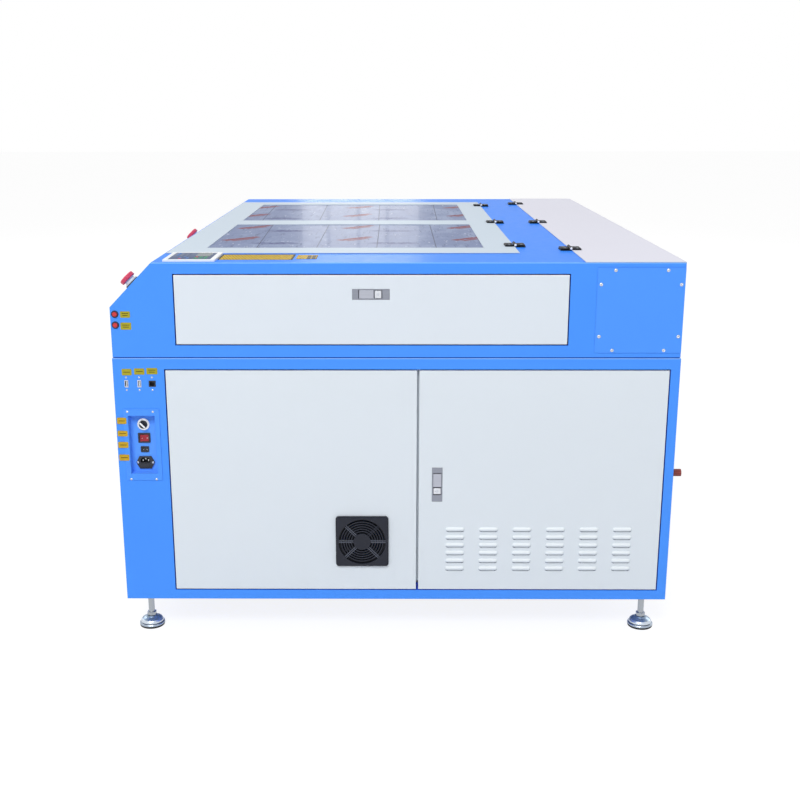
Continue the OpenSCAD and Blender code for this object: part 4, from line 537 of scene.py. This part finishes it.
# bands up a foot: rubber pad, flange, groove, dome and shoulder; the groove's dark is painted shade, the
# dome's pale band a painted highlight and the shoulder's blue-grey a painted reflection of the casing
bands = [(None, "#111215", 0.8, 0.0), (0.0054, "#a9b4c1", 0.34, 0.85), (0.0102, "#3a4657", 0.4, 0.9),
         (0.0122, "#cfd8e2", 0.3, 0.8), (0.0192, "#8496a8", 0.3, 0.6), (0.0272,)]
footRows = [((None, None, low), (None, None, high), *looks)
            for (low, *looks), (high, *_) in zip(bands, bands[1:])]
for spot in ("front_right", "front_left", "rear_right", "rear_left"):
    wear(layered("footZinc_" + spot, "#a8adb2", 0.35, 1.0, footRows), "foot_" + spot)
print("finishes: regions done")

# protective film on the acrylic: each pane has its own strips, plain strokes and dark smudges
film = {
    "cool": "#66769f", "pale": "#8d9aba", "dark": "#34426f", "red": "#72041e", "navy": "#14246b",
    "crease": "#d5dbea", "seam": "#1d2645", "seamWidth": 2.4,
    "long": (0.062, 0.0135), "short": (0.04, 0.007), "shift": (0.012, 0.0245),
    "patch": (0.11, 107), "shape": (5.5, 0.8), "ragged": 0.0022, "fade": (0.002, 0.0068),
    "panes": (
        {"from": 0.655, "to": 0.076, "seams": ((330, 312), (489, 489), (649, 649), (807, 807)),
         "red": (0.125, 262), "pitch": (0.309, 0.322)},
        {"from": -0.063, "to": -0.657, "seams": ((262, 249), (450, 442), (644, 640), (835, 842)),
         "red": (-0.257, 216), "pitch": (0.309, 0.353)}),
}
skin = Finish("protectiveFilm", Coat_Roughness=0.06, Specular_IOR_Level=0.05)
x, y, z = skin.axes()
nearPane = x > 0.0
seam = stroke = smudge = None
worn = skin.rise(skin.noise(120, 3, (1, 0.6, 1)), 0.3, 0.44)
smear = skin.rise(skin.noise(95, 5, (1, 0.45, 1), 0.65), 0.36, 0.54)
diagonal = 0.7071
for pane, here in zip(film["panes"], (nearPane, 1 - nearPane)):
    for start, end in pane["seams"]:
        slant = (end - start) * mm / (pane["to"] - pane["from"])
        along = y - slant * (x - pane["from"]) - (frontY + start * mm)
        seam = joined(seam, (abs(along) < film["seamWidth"] * mm / 2) * here)
    across = skin.cell(x, pane["red"][0], pane["pitch"][0])
    along = skin.cell(y, frontY + pane["red"][1] * mm, pane["pitch"][1])
    reach, off = (along - across) * diagonal, (along + across) * diagonal
    bars = (abs(reach) < film["long"][0]) * (abs(off) < film["long"][1])
    reach, off = abs(reach + film["shift"][0]), abs(off - film["shift"][1])
    bars = bars | (reach < film["short"][0]) * (off < film["short"][1])
    stroke = joined(stroke, bars * here)
    across = skin.cell(x, pane["red"][0] + film["patch"][0], pane["pitch"][0])
    along = skin.cell(y, frontY + (pane["red"][1] + film["patch"][1]) * mm, pane["pitch"][1])
    patch = across * across * film["shape"][0] + along * along * film["shape"][1]
    patch = skin.rise(patch + film["ragged"] * skin.noise(14, 3), *film["fade"])
    smudge = joined(smudge, (1 - patch) * here)
cloud = skin.noise(5, 4, (1, 2.2, 1), 0.6)
streak = skin.rise(skin.noise(16, 5, (1, 7, 1), 0.65), 0.54, 0.72)
crease = skin.rise(skin.noise(23, 4, (1, 4, 1)), 0.64, 0.74)
skin.base(film["cool"], film["pale"], skin.rise(cloud, 0.38, 0.72))
for key, share in (("dark", 0.75 * streak), ("crease", 0.5 * crease), ("navy", 0.95 * smudge * smear),
                   ("red", 0.95 * stroke * worn), ("seam", 0.85 * seam)):
    skin.over(film[key], share)
skin.set(Roughness=0.3 + 0.2 * cloud, Coat_Weight=0.04 - 0.03 * (seam | stroke))
wrinkle = skin.noise(11, 4, (1, 2.5, 1))
skin.set(Normal=skin.bump(wrinkle - 0.5 * seam, 0.0008, 0.3))
wear(skin, "lid_windows")
print("finishes: film done")


def placed(name, data):
    made = bpy.data.objects.new(name, data)
    scene.collection.objects.link(made)
    return made


class Shape:
    # a mesh being made, in metres; places are frames in millimetres
    def __init__(self):
        self.mesh = bmesh.new()

    def loft(self, place, rings, closed=True):
        rows = [[self.mesh.verts.new(place @ Vector(point)) for point in ring] for ring in rings]
        for low, high in zip(rows, rows[1:]):
            for i in range(len(low)):
                j = (i + 1) % len(low)
                self.mesh.faces.new((low[i], low[j], high[j], high[i]))
        if closed:
            self.mesh.faces.new(rows[0][::-1])
            self.mesh.faces.new(rows[-1])
        return self

    def turned(self, place, outline, steps=32, closed=True):
        # outline: pairs of radius and height, upwards
        rings = []
        for radius, height in outline:
            angles = [2 * math.pi * i / steps for i in range(steps)]
            rings.append([(radius * math.cos(t), radius * math.sin(t), height) for t in angles])
        return self.loft(place, rings, closed)

    def slab(self, place, wide, high, corner, levels, steps=5):
        # a rounded plate about its middle; levels: pairs of inset and height
        rings = []
        for inset, height in levels:
            r = max(corner - inset, 0.05)
            w, h = wide / 2 - inset - r, high / 2 - inset - r
            ring = []
            for k, (sx, sy) in enumerate(((1, 1), (-1, 1), (-1, -1), (1, -1))):
                for i in range(steps + 1):
                    t = math.pi / 2 * (k + i / steps)
                    ring.append((sx * w + r * math.cos(t), sy * h + r * math.sin(t), height))
            rings.append(ring)
        return self.loft(place, rings)

    def copy(self, place, mesh):
        start = len(self.mesh.verts)
        self.mesh.from_mesh(mesh)
        self.mesh.verts.ensure_lookup_table()
        for vert in self.mesh.verts[start:]:
            vert.co = place @ vert.co
        return self

    def piece(self, name, slot, finish, body="chassis", smooth=35):
        self.mesh.normal_update()
        mesh = bpy.data.meshes.new(name)
        self.mesh.to_mesh(mesh)
        self.mesh.free()
        mesh.shade_smooth()
        mesh.set_sharp_from_angle(angle=math.radians(smooth))
        mesh.materials.append(finish.material)
        made = placed(name, mesh)
        if body:
            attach(made, body)
        return made


def crossHead():
    # a pan head of radius 1 with a cross recess, as a mesh to copy
    pan = [(0.9, -0.1), (1.0, 0.0), (1.0, 0.16), (0.94, 0.32), (0.78, 0.46), (0.5, 0.55), (0.05, 0.58)]
    head = Shape().turned(Matrix(), pan).piece("headShape", None, plasticBlack, None)
    cutter = Shape()
    for turn in (0, 90):
        cutter.slab(at(Matrix(), 0, 0, 0, turn), 1.05, 0.24, 0.02, [(0.14, 0.2), (0, 0.62)], 1)
    cutter = cutter.piece("recessShape", None, plasticBlack, None)
    cut = head.modifiers.new("recess", "BOOLEAN")
    cut.operation, cut.object, cut.use_self = "DIFFERENCE", cutter, True
    view = bpy.context.evaluated_depsgraph_get()
    mesh = bpy.data.meshes.new_from_object(head.evaluated_get(view))
    for spare in (head, cutter):
        bpy.data.objects.remove(spare)
    return mesh


screwMesh = crossHead()
screwZinc = polished("screwZinc", "#cfd5de", gloss=0.22)


def screw(shape, place, radius, turn):
    shape.copy(place @ spin(turn) @ Matrix.Scale(radius, 4), screwMesh)


# small screws of the power tray, the data sockets and the mains inlet
smallScrews = {
    "tray": {"radius": 3.1, "places": [(29.8, 505.8), (93.7, 505.8), (30, 328.8), (94, 328.8)]},
    "ports": {"radius": 2.5, "places": [(a, u) for a in (32, 64, 96) for u in (593.4, 561.5)]},
    "inlet": {"radius": 3.0, "away": 19.2},
}
made = Shape()
trayOut = (trayHigh.x - cabinetHigh.x) / mm
for name, out, start, step in (("tray", trayOut, 23, 37), ("ports", 0, 11, 29)):
    for i, (across, up) in enumerate(smallScrews[name]["places"]):
        screw(made, at(endFace, across, up, out), smallScrews[name]["radius"], start + step * i)
for side in (-1, 1):
    across = side * smallScrews["inlet"]["away"]
    screw(made, at(inletFace, across, 0), smallScrews["inlet"]["radius"], 40 + across)
made.piece("control_screws", "lock_steel", screwZinc)

# screws round the panels that never open, at the left end and the rear
panelScrews = {"radius": 3.2, "inset": 9.0, "up": (28, 611),
               "left": ((-1377, -741), (-735, -127)), "rear": ((-867, -3), (3, 867))}
made = Shape()
count = 0
inset, (low, high) = panelScrews["inset"], panelScrews["up"]
ups = [low + inset, (low + high) / 2, high - inset]
for place, edges in ((leftEnd, panelScrews["left"]), (rearFace, panelScrews["rear"])):
    for start, end in edges:
        for across in (start + inset, (start + end) / 2, end - inset):
            for up in ups if across != (start + end) / 2 else (ups[0], ups[2]):
                screw(made, at(place, across, up), panelScrews["radius"], 17 + 53 * count)
                count += 1
made.piece("panel_screws", "lock_steel", screwZinc)
print("pieces: screws done")

# pins of the top hinges, with domed heads at both ends, and the screws of their leaves
hinges = {"half": 25.6, "pin": 3.3, "dome": 1.6, "screw": 3.0, "along": 15.5, "away": 16.0,
          "leafTop": 1.9, "barrel": 5.4, "pad": (48.5, 21.0, 2.6), "corner": 3.5, "axis": 0.004, "end": 0.025}
hingeLow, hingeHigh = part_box("lid_hinge_leaves")
coverLow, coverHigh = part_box("cover_hinge_leaves")
pinUp = hingeHigh.z - hinges["axis"]
# the pin heads are painted near white, a painted highlight on their domes
pinHeadHighlight = moulded("pinEnds", "#f7f9fc", gloss=0.25, depth=0.00001, spread=0.02)
screwBlack = polished("screwBlack", "#7d828c", gloss=0.3)
owners = {"": "chassis", "lid_": "lid", "cover_": "rear_cover"}
caps = Shape()
pads, screws = ({start: Shape() for start in owners} for kind in range(2))
leafUp = (hingeLow.z - pinUp) / mm + hinges["leafTop"]
padLong, padWide, padThick = hinges["pad"]
padLevels = [(0, 0), (0, padThick * 0.6), (0.4, padThick * 0.9), (1.2, padThick)]
r, d = hinges["pin"], hinges["dome"]
dome = [(r, -0.2), (r, 0.3), (r * 0.93, 0.55 * d), (r * 0.7, 0.83 * d), (r * 0.36, 0.97 * d), (0.1, d)]
for y, reach, side, moving in (
        (hingeHigh.y - hinges["axis"], hingeHigh.x - hinges["end"], -1, "lid_"),
        (coverLow.y + hinges["axis"], coverHigh.x - hinges["end"], 1, "cover_")):
    for x in (-reach, 0, reach):
        middle = face((x, y, pinUp), (1, 0, 0), (0, 1, 0))
        for turn in (-1, 1):
            end = face((x + turn * hinges["half"] * mm, y, pinUp), (0, turn, 0))
            caps.turned(end, dome, 24)
            along, up = turn * hinges["along"], leafUp + padThick - 0.7
            for owner, way, start in ((moving, side, 30), ("", -side, 75)):
                spot = at(middle, along, way * hinges["away"], up)
                screw(screws[owner], spot, hinges["screw"], start + x * 200)
        # cast leaves: thicker pads with eased edges over the sheet leaves
        for owner, way in ((moving, side), ("", -side)):
            spot = at(middle, 0, way * (hinges["barrel"] + padWide / 2), leafUp - 0.1)
            pads[owner].slab(spot, padLong, padWide, hinges["corner"], padLevels)
caps.piece("hinge_pin_heads", "bright_steel", pinHeadHighlight)
for shapes, kind, finish in ((pads, "hinge_pads", hingeBlack), (screws, "hinge_screws", screwBlack)):
    for owner, body in owners.items():
        shapes[owner].piece(owner + kind, "black_steel", finish, body)
print("pieces: hinge details done")

# yellow plates beside the controls, each with plain dark bars
tags = {"corner": 2.2, "thick": 0.7, "overTray": 2.2, "bar": (0.66, 1.7), "shorter": 0.12, "line": 5.0,
        "trayTop": 500, "housing": 700,
        # left, low, right and high edges on the end face, and the count of bars
        "places": [
            (26.4, 743.2, 50.7, 759, 2), (25.9, 713.4, 52.2, 731.3, 2), (22, 598.8, 46.5, 615.3, 1),
            (52.8, 600.6, 78.3, 616.6, 1), (83.3, 601.6, 110.4, 617.6, 2), (3, 474.1, 26.3, 490.2, 1),
            (2.7, 441.8, 27.7, 456.1, 1), (2.1, 411.5, 27.8, 427, 1), (2.8, 378, 28.4, 393.8, 1)]}
printed = {"gloss": 0.5, "grain": 300, "specular": 0.15}
tagYellow = moulded("tagYellow", "#a9a02c", depth=0.00003, spread=0.1, edgeHighlight=1.3, **printed)
tagAmber = moulded("tagAmber", "#c39f2c", depth=0.00003, spread=0.1, **printed)
tagInk = moulded("tagInk", "#4a3d17", depth=0.00002, spread=0.2, **printed)
plates, lowPlates, bars = Shape(), Shape(), Shape()
for left, low, right, high, rows in tags["places"]:
    wide, tall = right - left, high - low
    up = (low + high) / 2
    byTray = up < tags["trayTop"]
    thick = tags["overTray"] if byTray else tags["thick"]
    middle = at(endFace, (left + right) / 2, up)
    if up > tags["housing"]:
        middle = at(upperEnd, (left + right) / 2, up - (housingLow.z - cabinetLow.z) / mm)
    levels = [(0, 0), (0, thick - 0.2), (0.2, thick), (1.3, thick), (1.5, thick - 0.15)]
    (lowPlates if byTray else plates).slab(middle, wide, tall, tags["corner"], levels)
    for row in range(rows):
        share = tags["bar"][0] - tags["shorter"] * row
        lower = (2.6 if rows == 2 else 0) - tags["line"] * row
        spot = at(middle, 0, lower, thick - 0.2)
        bars.slab(spot, wide * share, tags["bar"][1], 0.4, [(0, 0), (0, 0.09)], 2)
plates.piece("yellow_tags", "white_plastic", tagYellow)
lowPlates.piece("amber_tags", "white_plastic", tagAmber)
bars.piece("tag_bars", "white_plastic", tagInk)

# plain plates on the right-hand strip of the top, with fine ruling, a dark border and dark squares
signs = {"long": (261, 446, 53, 150), "short": (453, 504, 65, 137), "thick": 0.8, "corner": 2.5,
         "pitch": 0.0076, "rule": 0.0017, "slant": 0.3, "middle": 353.5, "half": 0.0875, "inner": 0.139,
         "squares": (0.484, 0.0115, 0.0046), "from": 0.478, "outer": 0.128, "border": 0.4495}
sign = Finish("plateYellow", Specular_IOR_Level=0.02)
x, y, z = sign.axes()
ruled = abs(sign.cell(y - signs["slant"] * x, 0.0, signs["pitch"])) < signs["rule"]
ruled = 0.8 * ruled * sign.rise(sign.noise(160, 2), 0.38, 0.5)
sign.base("#d0ab05", "#6d5810", ruled)
border = abs(y - (frontY + signs["middle"] * mm)) > signs["half"]
border = border | (x < cabinetHigh.x - signs["inner"])
sign.over("#35382c", 0.95 * border * (1 - (y > frontY + signs["border"])))
start, pitch, half = signs["squares"]
squares = abs(sign.cell(y, frontY + start, pitch)) < half
squares = 0.95 * squares * (y > frontY + signs["from"]) * (x > cabinetHigh.x - signs["outer"])
sign.over("#2b2820", squares).set(Roughness=0.32 + 0.1 * sign.noise(60, 2))
sign.set(Normal=sign.bump(sign.noise(300, 2), 0.00004, 0.5))
made = Shape()
for key in ("long", "short"):
    front, back, outer, inner = signs[key]
    middle = at(deck, cabinetHigh.x / mm - (outer + inner) / 2, (front + back) / 2)
    levels = [(0, 0), (0, 0.5), (0.3, signs["thick"])]
    made.slab(middle, inner - outer, back - front, signs["corner"], levels)
made.piece("deck_plates", "white_plastic", sign)
print("pieces: plates done")

# keypad on the top: dark face, blank display and keys
keypad = {
    "face": 0.6, "frame": 22, "key": (9.2, 7.0), "corner": 1.4, "display": (-22, 24, 66, 36),
    "keys": {"green": "#2f8f63", "red": "#c43a4c", "grey": "#5f6c86", "blue": "#3d6fb0"},
    "places": {
        "green": [(x, y) for x in (20, 34, 48) for y in (36, 24)] + [(48, 12), (34, 12)],
        "red": [(48, -26), (20, 12)],
        "grey": [(x, y) for y in (-14, -26) for x in (-50, -36, -22, -8, 6)],
        "blue": [(x, -40) for x in (-50, -36, -22, -8)] + [(34, -8), (34, -26), (20, -17), (48, -8)]},
}
panelLow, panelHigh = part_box("control_panel")
panelMid = (panelLow + panelHigh) / 2
wellX = (panelHigh.x - panelLow.x) / mm - keypad["frame"]
wellY = (panelHigh.y - panelLow.y) / mm - keypad["frame"]
panelFace = face((panelMid.x, panelMid.y, panelHigh.z - 0.001), (1, 0, 0), (0, 1, 0))
overlay = moulded("keypadOverlay", "#5c6885", gloss=0.45, grain=500, depth=0.00002, specular=0.1)
top = keypad["face"]
made = Shape().slab(panelFace, wellX, wellY, 2, [(0, 0), (0, top - 0.2), (0.3, top)])
made.piece("keypad_overlay", "black_plastic", overlay)
glassDark = moulded("displayGlass", "#27424a", gloss=0.2, grain=50, depth=0.0, specular=0.15)
x, y, wide, tall = keypad["display"]
made = Shape().slab(at(panelFace, x, y, top - 0.1), wide, tall, 1.5, [(0, 0), (0, 0.3), (0.4, 0.6)])
made.piece("keypad_display", "black_plastic", glassDark)
wide, tall = keypad["key"]
for colour, places in keypad["places"].items():
    made = Shape()
    for x, y in places:
        levels = [(0, 0), (0.1, 0.5), (0.5, 0.75), (1.2, 0.8)]
        made.slab(at(panelFace, x, y, top - 0.1), wide, tall, keypad["corner"], levels)
    keyTop = moulded("key_" + colour, keypad["keys"][colour], gloss=0.4, specular=0.15)
    made.piece("keypad_keys_" + colour, "black_plastic", keyTop)

# inside the laser tube: cooling jacket, discharge bore and electrodes, with caps on its necks
tube = {"jacket": 27, "bore": 7, "reach": 700, "rings": 5, "first": 280, "pitch": 210,
        "electrode": (15, 655, 715), "cap": (14.2, 756, 779.5)}
tubeLow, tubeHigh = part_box("laser_tube")
tubeMid = (tubeLow + tubeHigh) / 2
tubeLine = face((0, tubeMid.y, tubeMid.z))
innerGlass = polished("innerGlass", "#c4d3dc", gloss=0.15)
electrodeSteel = polished("electrodeSteel", "#d3d6da", gloss=0.2)
capSilicone = moulded("capSilicone", "#b23a34", gloss=0.45)
inner, rods, capped = Shape(), Shape(), Shape()
reach = tube["reach"]
inner.turned(at(tubeLine, 0, 0, -reach), [(tube["bore"], 0), (tube["bore"], 2 * reach)], 32)
flange = [(tube["bore"], -5), (tube["jacket"], -2), (tube["jacket"], 2), (tube["bore"], 5)]
for i in range(tube["rings"]):
    inner.turned(at(tubeLine, 0, 0, tube["first"] - reach + i * tube["pitch"]), flange, 32)
for shape, (r, start, end), ease, eased in ((rods, tube["electrode"], 2, 2), (capped, tube["cap"], 2.5, 1)):
    long = end - start
    outline = [(r - ease, 0), (r, eased), (r, long - eased), (r - ease, long)]
    for side in (-1, 1):
        shape.turned(at(tubeLine, 0, 0, min(side * start, side * end)), outline, 32)
inner.piece("tube_bore", "glass", innerGlass)
rods.piece("tube_electrodes", "glass", electrodeSteel)
capped.piece("tube_caps", "glass", capSilicone)

# terminal blocks on the supplies and the controller, behind the service door
blocks = {
    "deep": 7.0, "tall": 9.0, "pitch": 7.6, "screw": 2.3,
    # across, up, height of the face, count of screws, and whether the strip is a dark one
    "strips": [(862, 202, 132, 8, True), (1048, 206, 47, 8, True), (1052, 458, 35, 11, False),
               (1052, 561, 35, 11, False), (1150, 458, 35, 8, False), (1150, 561, 35, 8, False)],
}
blockGreen = moulded("blockGreen", "#2f9a5c", gloss=0.4)
greens, darks, heads = Shape(), Shape(), Shape()
cardFace = face((cardX + 0.003, frontY, 0.0))
for across, up, out, count, dark in blocks["strips"]:
    wide, deep = count * blocks["pitch"], blocks["deep"]
    (darks if dark else greens).slab(at(cardFace, across + wide / 2, up, out - 1), wide, blocks["tall"], 0.6,
                                     [(0, 0), (0, deep - 1), (1.0, deep)], 2)
    for i in range(count):
        spot = at(cardFace, across + (i + 0.5) * blocks["pitch"], up, out - 1.6 + deep)
        screw(heads, spot, blocks["screw"], 31 * i)
greens.piece("controller_terminals", "electronics", blockGreen)
darks.piece("supply_terminals", "electronics", plasticBlack)
heads.piece("terminal_screws", "electronics", screwZinc)
print("pieces: tube and terminals done")

# knurled ring round each emergency stop's collar, and the skirt under its cap
stopRings = {"radius": 20.0, "low": 8.7, "knurls": 48, "depth": 0.5,
             "levels": ((0.4, 0), (0, 0.4), (0, 2.4), (0.4, 2.8)),
             "along": {"estop_head_right": 41, "estop_head_middle": 64}}
skirt = {"outer": 20.9, "inner": 18.7, "low": 21.0, "high": 25.0}
ringOlive = moulded("ringOlive", "#3b3a24", gloss=0.45)
slopeUp = Vector((0, math.cos(lean), math.sin(lean)))
made = Shape()
for node, along in stopRings["along"].items():
    low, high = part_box(node)
    foot = Vector(((low.x + high.x) / 2, *slope["foot"])) + slopeUp * along * mm
    stop = face(foot, (1, 0, 0), slopeUp)
    rings = []
    for inset, height in stopRings["levels"]:
        ring = []
        for i in range(stopRings["knurls"] * 2):
            r = stopRings["radius"] - inset - (stopRings["depth"] if i % 2 else 0)
            t = math.pi * i / stopRings["knurls"]
            ring.append((r * math.cos(t), r * math.sin(t), height))
        rings.append(ring)
    made.loft(at(stop, 0, 0, stopRings["low"]), rings)
    r, inner, low, high = skirt["outer"], skirt["inner"], skirt["low"], skirt["high"]
    outline = [(inner, high), (inner, low), (r - 1.2, low), (r - 0.3, low + 0.8), (r, low + 2.0),
               (r, high), (inner, high)]
    under = Shape().turned(stop, outline, 64, False)
    under.piece(node + "_skirt", "red_plastic", capRed, node)
made.piece("estop_rings", "black_plastic", ringOlive, smooth=20)
print("pieces: keypad and rings done")

# white bar on the selector
selectorBar = {"long": 17.5, "wide": 4.2, "corner": 1.0, "turn": 135, "sunk": 0.15}
markWhite = moulded("markWhite", "#f4f5f6", gloss=0.4)
spot = at(outside("selector_knob"), 0, 0, -selectorBar["sunk"], selectorBar["turn"])
made = Shape().slab(spot, selectorBar["long"], selectorBar["wide"], selectorBar["corner"],
                    [(0, 0), (0, 0.3), (0.3, 0.5)])
made.piece("selector_bar", "white_plastic", markWhite, "selector_knob")

# a bar and a ring on each rocker; each half of a rocker rises from its middle to its end
rockerMarks = {"tilt": 9, "rise": 1.8, "middle": 4.42, "behind": 0.021,
               "nodes": {"main_rocker": (6.6, 3.4), "small_rocker": (4.2, 2.2)}}
tilted = spin(rockerMarks["tilt"]) @ Vector((0, 1, 0))
for node, (reach, size) in rockerMarks["nodes"].items():
    low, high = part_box(node)
    middle = (low + high) / 2
    flat = face((cabinetHigh.x - rockerMarks["behind"], middle.y, middle.z), tilted)
    rise = math.atan2(rockerMarks["rise"], (high.y - low.y) / mm / 2)
    made = Shape()
    for side in (-1, 1):
        out = rockerMarks["middle"] + reach * math.tan(rise)
        spot = at(flat, side * reach, 0, out) @ Matrix.Rotation(-side * rise, 4, "Y")
        if side < 0:
            made.slab(spot, 0.7, size, 0.3, [(0, -0.1), (0, 0.12), (0.1, 0.16)], 2)
        else:
            outer, inner = size / 2, size / 2 - 0.5
            made.turned(spot, [(outer, -0.1), (outer, 0.14), (inner, 0.14), (inner, -0.1)], 24)
    made.piece(node + "_marks", "white_plastic", markWhite, node)

# key cylinders in the plane locks' buttons, each with its slot
cylinder = {"radius": 3.6, "proud": 0.14, "slot": (3.4, 0.5),
            "turns": {"end_lock_button": 90, "service_lock_button": 0}}
for node, turn in cylinder["turns"].items():
    spot = outside(node)
    r, proud = cylinder["radius"], cylinder["proud"]
    made = Shape().turned(spot, [(r, -0.4), (r, 0.06), (r - 0.2, proud), (0.1, proud)], 40)
    made.slab(at(spot, 0, 0, 0.1, turn), *cylinder["slot"], 0.2, [(0, 0), (0, 0.06), (0.1, 0.08)], 2)
    made.piece(node + "_key", "bright_button", polished(node + "Key", "#ccd0d9", gloss=0.3), node)
print("pieces: marks and keys done")

# the floor, whose white shows to the camera, to mirrors and through glass
studio = {"wide": 60, "thick": 0.02, "glow": 1.16, "share": 0.75, "air": 0.5, "backdrop": 1.0}
white = (1, 1, 1, 1)
floor = Finish("floorWhite", Roughness=0.9, Specular_IOR_Level=0.1)
floor.base("#e6e6e6", "#ececec", floor.noise(0.6, 2))
glow = floor.add("Emission", {"Color": white, "Strength": studio["glow"]})
mixed = {0: studio["share"] * floor.straight(), 1: floor.surface, 2: glow}
floor.join(floor.out, "Surface", floor.add("MixShader", mixed))
levels = [(0, -studio["thick"]), (0, 0)]
made = Shape().slab(Matrix.Identity(4), studio["wide"], studio["wide"], 1, levels, 4)
made = made.piece("studio_floor", None, floor, None)


class Air(Finish):
    # the world's nodes, joined by a finish's own methods
    def __init__(self, name):
        world = bpy.data.worlds.new(name)
        world.use_nodes = True
        scene.world = world
        self.tree = world.node_tree
        self.tree.nodes.clear()
        self.out = self.add("OutputWorld", None, None)


air = Air("studioAir")
soft, shown = (air.add("Background", {"Color": white, "Strength": studio[key]})
               for key in ("air", "backdrop"))
air.join(air.out, "Surface", air.add("MixShader", {0: air.straight(), 1: soft, 2: shown}))


def softbox(name, spot, aim, size, watts):
    lamp = bpy.data.lights.new(name, "AREA")
    lamp.shape, lamp.size, lamp.size_y, lamp.energy = "RECTANGLE", size[0], size[1], watts
    stand = placed(name, lamp)
    stand.location = spot
    stand.rotation_euler = (Vector(aim) - Vector(spot)).to_track_quat("-Z", "Y").to_euler()
    stand.visible_camera = False
    return stand


boxSize = (3.0, 2.4)
softbox("keyLight", (6.2, -1.4, 6.0), (0.9, 0, 0.6), boxSize, 338)
softbox("fillLight", (-4.5, -5.0, 4.5), (0, 0, 0.6), boxSize, 130)
softbox("rearLight", (-4.0, 5.4, 3.6), (0, 0, 0.6), boxSize, 110)
# tall window panes behind the machine, seen only as reflections
windows = {"x": -4.4, "edges": (-0.70, -0.50, -0.285, -0.08, 0.16), "gap": 0.03, "low": 1.15, "high": 1.95,
           "aim": 0.5, "watts": 1.7}
tall = windows["high"] - windows["low"]
for i, (start, end) in enumerate(zip(windows["edges"], windows["edges"][1:])):
    middle = ((start + end) / 2, (windows["low"] + windows["high"]) / 2)
    size = (end - start - windows["gap"], tall)
    lamp = softbox("window%d" % i, (windows["x"], *middle), (windows["aim"], *middle), size, windows["watts"])
    lamp.visible_diffuse = False

lens = {"spot": (3.5965, -0.0255, 1.342), "down": 14.638, "left": 0.438, "roll": -0.074,
        "length": 50, "sensor": 36, "shift": (0.0168, -0.0065), "clip": (0.05, 100)}
camera = bpy.data.cameras.new("machineView")
camera.lens, camera.sensor_width = lens["length"], lens["sensor"]
camera.shift_x, camera.shift_y = lens["shift"]
camera.clip_start, camera.clip_end = lens["clip"]
viewer = placed("machineView", camera)
turn = spin(90 + lens["left"]) @ spin(90 - lens["down"], "X") @ spin(lens["roll"])
viewer.matrix_world = Matrix.Translation(lens["spot"]) @ turn
scene.camera = viewer
scene.view_settings.view_transform = "Standard"
print("stage: floor, lights and camera set")
